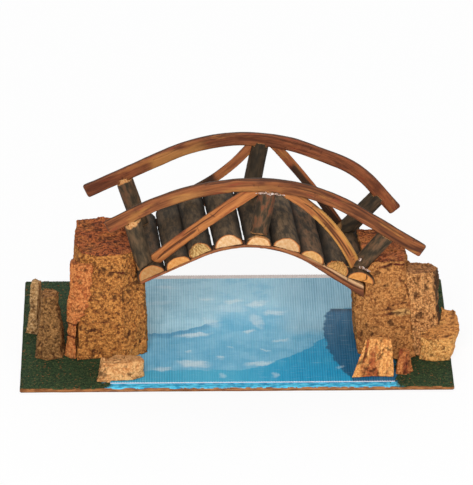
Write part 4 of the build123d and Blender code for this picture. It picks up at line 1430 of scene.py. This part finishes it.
def shapeCork(node, look, seed):
    low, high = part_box(node)
    thin, finer = look["small"]
    fineness = finer if min(high - low) < thin else 1.0
    piece, mesh, co, normal = carved(node, fineness * look["voxel"], look["soften"])
    x, _, z = (co / mm).T
    bent = co + 2.0 * mm * np.stack([cloud(co, 7 * mm, seed + n) for n in range(3)], axis=1)
    lumps = swells(co, 15 * mm, seed + 10)
    chunks = crumbs(bent, 7 * mm, seed + 20)[1] * 2 - 1
    nearest, own = crumbs(bent, 1.9 * mm, seed + 40)
    grains = 0.55 - nearest + 0.5 * (own - 0.5) + 0.5 * cloud(co, 3.6 * mm, seed + 43)
    pit, pitOwn = crumbs(bent * (1, 1, 0.6), 3.6 * mm, seed + 30)
    pits = ramp(pit, 0.40, 0.16) * (pitOwn > 0.6) * look["pores"]
    lines = np.zeros(len(co))
    if look["lineGap"]:
        wobble = 1.6 * mm * cloud(co, 12 * mm, seed + 50)
        tilted = co[:, 2] + co[:, :2] @ np.array(look["lineTilt"]) + wobble
        phase = tilted / look["lineGap"] + seed * 0.37
        lines = ramp(np.abs(phase - np.round(phase)), 0.10, 0.02)
        lines *= ramp(cloud(co, 20 * mm, seed + 55), -0.35, 0.1)
    wavy = z + 0.7 * swells(co, 6 * mm, seed + 52)
    for level, rise, start, stop, thick, strength in look["layers"]:
        away = np.abs(wavy - level - rise * (x - start))
        within = between(x, start, stop, 1) * (normal[:, 1] < 0.2)
        lines = np.maximum(lines, strength * ramp(away, thick * 1.5, thick * 0.5) * within)
    if look["redStreaks"]:  # upright red streaks, as split from the bark
        combed = cloud(co * (1, 0.08, 0.08), 1.7 * mm, seed + 60)
        combed += 0.6 * cloud(co * (1, 0.12, 0.12), 4.2 * mm, seed + 61)
        lines = np.maximum(lines, look["redStreaks"] * ramp(combed, -0.15, 0.5))
    bright = np.zeros(len(co))
    for middle, sizes in look["breaks"]:
        bright = np.maximum(bright, spot(co, middle, sizes, seed + 80))
    black = np.zeros(len(co))
    dent = np.zeros(len(co))
    # each hollow is dented in and painted near-black as painted shade
    for middle, sizes, depth in look["hollows"]:
        inside = spot(co, middle, sizes, seed + 90)
        black = np.maximum(black, inside)
        dent = np.maximum(dent, depth * inside)
    if look["blackSide"]:
        towards = normal @ np.array(look["blackSide"])
        blotchy = towards + 0.5 * swells(co, 6 * mm, seed + 70)
        black = np.maximum(black, ramp(blotchy, 0.78, 1.05) * 0.92)
    bottom = ramp(co[:, 2], low.z + 0.2 * mm, low.z + 2.5 * mm)
    hollow = 1.1 * (grains - 0.1) - 0.9 * pits - 0.5 * lines + 0.2 * lumps
    push = (lumps - 0.5) * look["lumps"] + chunks * look["chunks"] - pits * look["pits"]
    push += (grains - 0.4) * look["grains"] - lines * look["lineDepth"] - dent
    push += look["closing"] * ramp(normal[:, 0], -0.3, -0.8)
    lean = look["lean"] * ramp(co[:, 2], low.z, high.z) * ramp(co[:, 0], high.x, low.x)
    moved(mesh, co + normal * (push * bottom)[:, None] + lean[:, None] * np.array((1, 0, 0)))
    mark(
        mesh, hollow=np.clip(hollow, -1.5, 1.5), lines=np.clip(lines * 1.3, 0, 1),
        crown=ramp(normal[:, 2], 0.45, 0.8) * look["topDark"], bright=bright, blackened=black * 0.95,
    )
    return piece


for number, (node, own) in enumerate(corkLooks.items()):
    look = {**corkLook, **own}
    piece = shapeCork(node, look, look["seed"] + 7 * number)
    settle(piece, corkFinish(node + "Cork", look), "cork", node)
print("banks carved")


# Smears of dried glue: middle and half sizes of each in millimetres, and its slope in degrees
glueLook = {
    "white": paint(226, 208, 198),
    "clear": paint(176, 126, 96),
    "smears": (
        ((15.0, -33.2, 106.3), (4.2, 0.9, 0.7), 6), ((19.6, -33.4, 105.8), (3.6, 0.8, 0.8), -4),
        ((24.4, -33.2, 105.2), (3.8, 0.8, 0.6), -10), ((73.2, -31.6, 57.6), (2.6, 0.9, 0.8), -18),
        ((76.0, -31.2, 56.2), (1.8, 0.8, 0.7), -30), ((71.6, -30.6, 62.6), (1.2, 0.7, 1.0), 20),
    ),
    "ruffle": 0.75 * mm,
    "ruffleSize": 1.3 * mm,
    "bump": 0.2 * mm,
    "seed": 9,
}


def glueFinish():
    look = glueLook
    material, tree, shader = newMaterial("driedGlue", 0.35, 0.5)
    place = ownPlace(tree)
    cloudy = speckle(tree, place, 700, 3.0)
    colour = blend(tree, ease(tree, cloudy, 0.42, 0.62), look["clear"], look["white"])
    tree.links.new(ease(tree, cloudy, 0.38, 0.60, 0.25, 0.9), shader.inputs["Alpha"])
    rough = ease(tree, cloudy, 0.3, 0.7, 0.28, 0.45)
    finishWith(tree, shader, colour, cloudy, look["bump"], rough)
    return material


def buildGlue():
    look = glueLook
    shape = bmesh.new()
    for middle, sizes, slope in look["smears"]:
        made = bmesh.ops.create_icosphere(shape, subdivisions=4, radius=1.0)["verts"]
        turn = Matrix.Rotation(math.radians(-slope), 3, "Y")
        for vert in made:
            vert.co = mm * (Vector(middle) + turn @ Vector((vert.co[i] * sizes[i] for i in range(3))))
    mesh = bpy.data.meshes.new("glue_smears")
    shape.to_mesh(mesh)
    shape.free()
    co, normal = places(mesh), facings(mesh)
    ruffled = look["ruffle"] * (swells(co, look["ruffleSize"], look["seed"]) - 0.2)
    moved(mesh, co + normal * ruffled[:, None])
    settle(newPiece("glue_smears", mesh), glueFinish(), None)


buildGlue()
print("glue set")


# Floor, light and camera
stageLook = {
    "floor": paint(246, 246, 246),
    "floorSize": 14.0,
    "white": 0.88,  # share of plain white in what the camera sees of the floor
    "world": 0.42,
    "key": (-0.25, -2.2, 1.55),
    "keyWatts": 46.0,
    "keySize": 1.1,
    "fill": (1.4, -1.3, 0.9),
    "fillWatts": 5.5,
    "fillSize": 1.6,
    "back": (0.2, 2.0, 1.9),
    "backWatts": 26.0,
    "backSize": 1.8,
    "eye": (-0.0432, -2.7314, 1.2800),
    "aim": (0.0009, 0.0077, 0.0570),
    "lens": 380.7,
    "sensor": 36.0,
    "clip": (0.1, 60.0),
}


def facing(way):  # how a lamp or camera turns to look along a vector
    return way.to_track_quat("-Z", "Y").to_euler()


def buildStage():
    look = stageLook
    bpy.ops.mesh.primitive_plane_add(size=look["floorSize"])
    floor = bpy.context.object
    floor.name = "floor"
    material = bpy.data.materials.new("paleFloor")
    material.use_nodes = True
    tree = material.node_tree
    tree.nodes.clear()
    matt = put(tree, "ShaderNodeBsdfDiffuse", {"Color": look["floor"]})
    glow = put(tree, "ShaderNodeEmission", {"Color": (1, 1, 1, 1), "Strength": 1.0})
    rays = put(tree, "ShaderNodeLightPath").outputs
    mirrored = calc(tree, "MAXIMUM", rays["Is Glossy Ray"], rays["Is Transmission Ray"])
    seen = times(tree, calc(tree, "MAXIMUM", rays["Is Camera Ray"], mirrored), look["white"])
    mixed = put(tree, "ShaderNodeMixShader", {0: seen, 1: matt.outputs[0], 2: glow.outputs[0]})
    put(tree, "ShaderNodeOutputMaterial", {"Surface": mixed.outputs[0]})
    floor.data.materials.append(material)
    world = bpy.data.worlds.new("studio")
    world.use_nodes = True
    sky = world.node_tree.nodes["Background"].inputs
    sky["Color"].default_value = (1, 1, 1, 1)
    sky["Strength"].default_value = look["world"]
    bpy.context.scene.world = world
    aim = Vector(look["aim"])
    for name in ("key", "fill", "back"):
        lamp = bpy.data.lights.new(name, "AREA")
        lamp.energy = look[name + "Watts"]
        lamp.size = look[name + "Size"]
        holder = newPiece(name, lamp)
        holder.location = look[name]
        holder.rotation_euler = facing(aim - holder.location)
    lens = bpy.data.cameras.new("camera")
    lens.lens = look["lens"]
    lens.sensor_width = look["sensor"]
    lens.clip_start, lens.clip_end = look["clip"]
    eye = newPiece("camera", lens)
    eye.location = look["eye"]
    eye.rotation_euler = facing(aim - eye.location)
    bpy.context.scene.camera = eye
    bpy.context.scene.view_settings.view_transform = "Standard"


buildStage()
print("stage set")
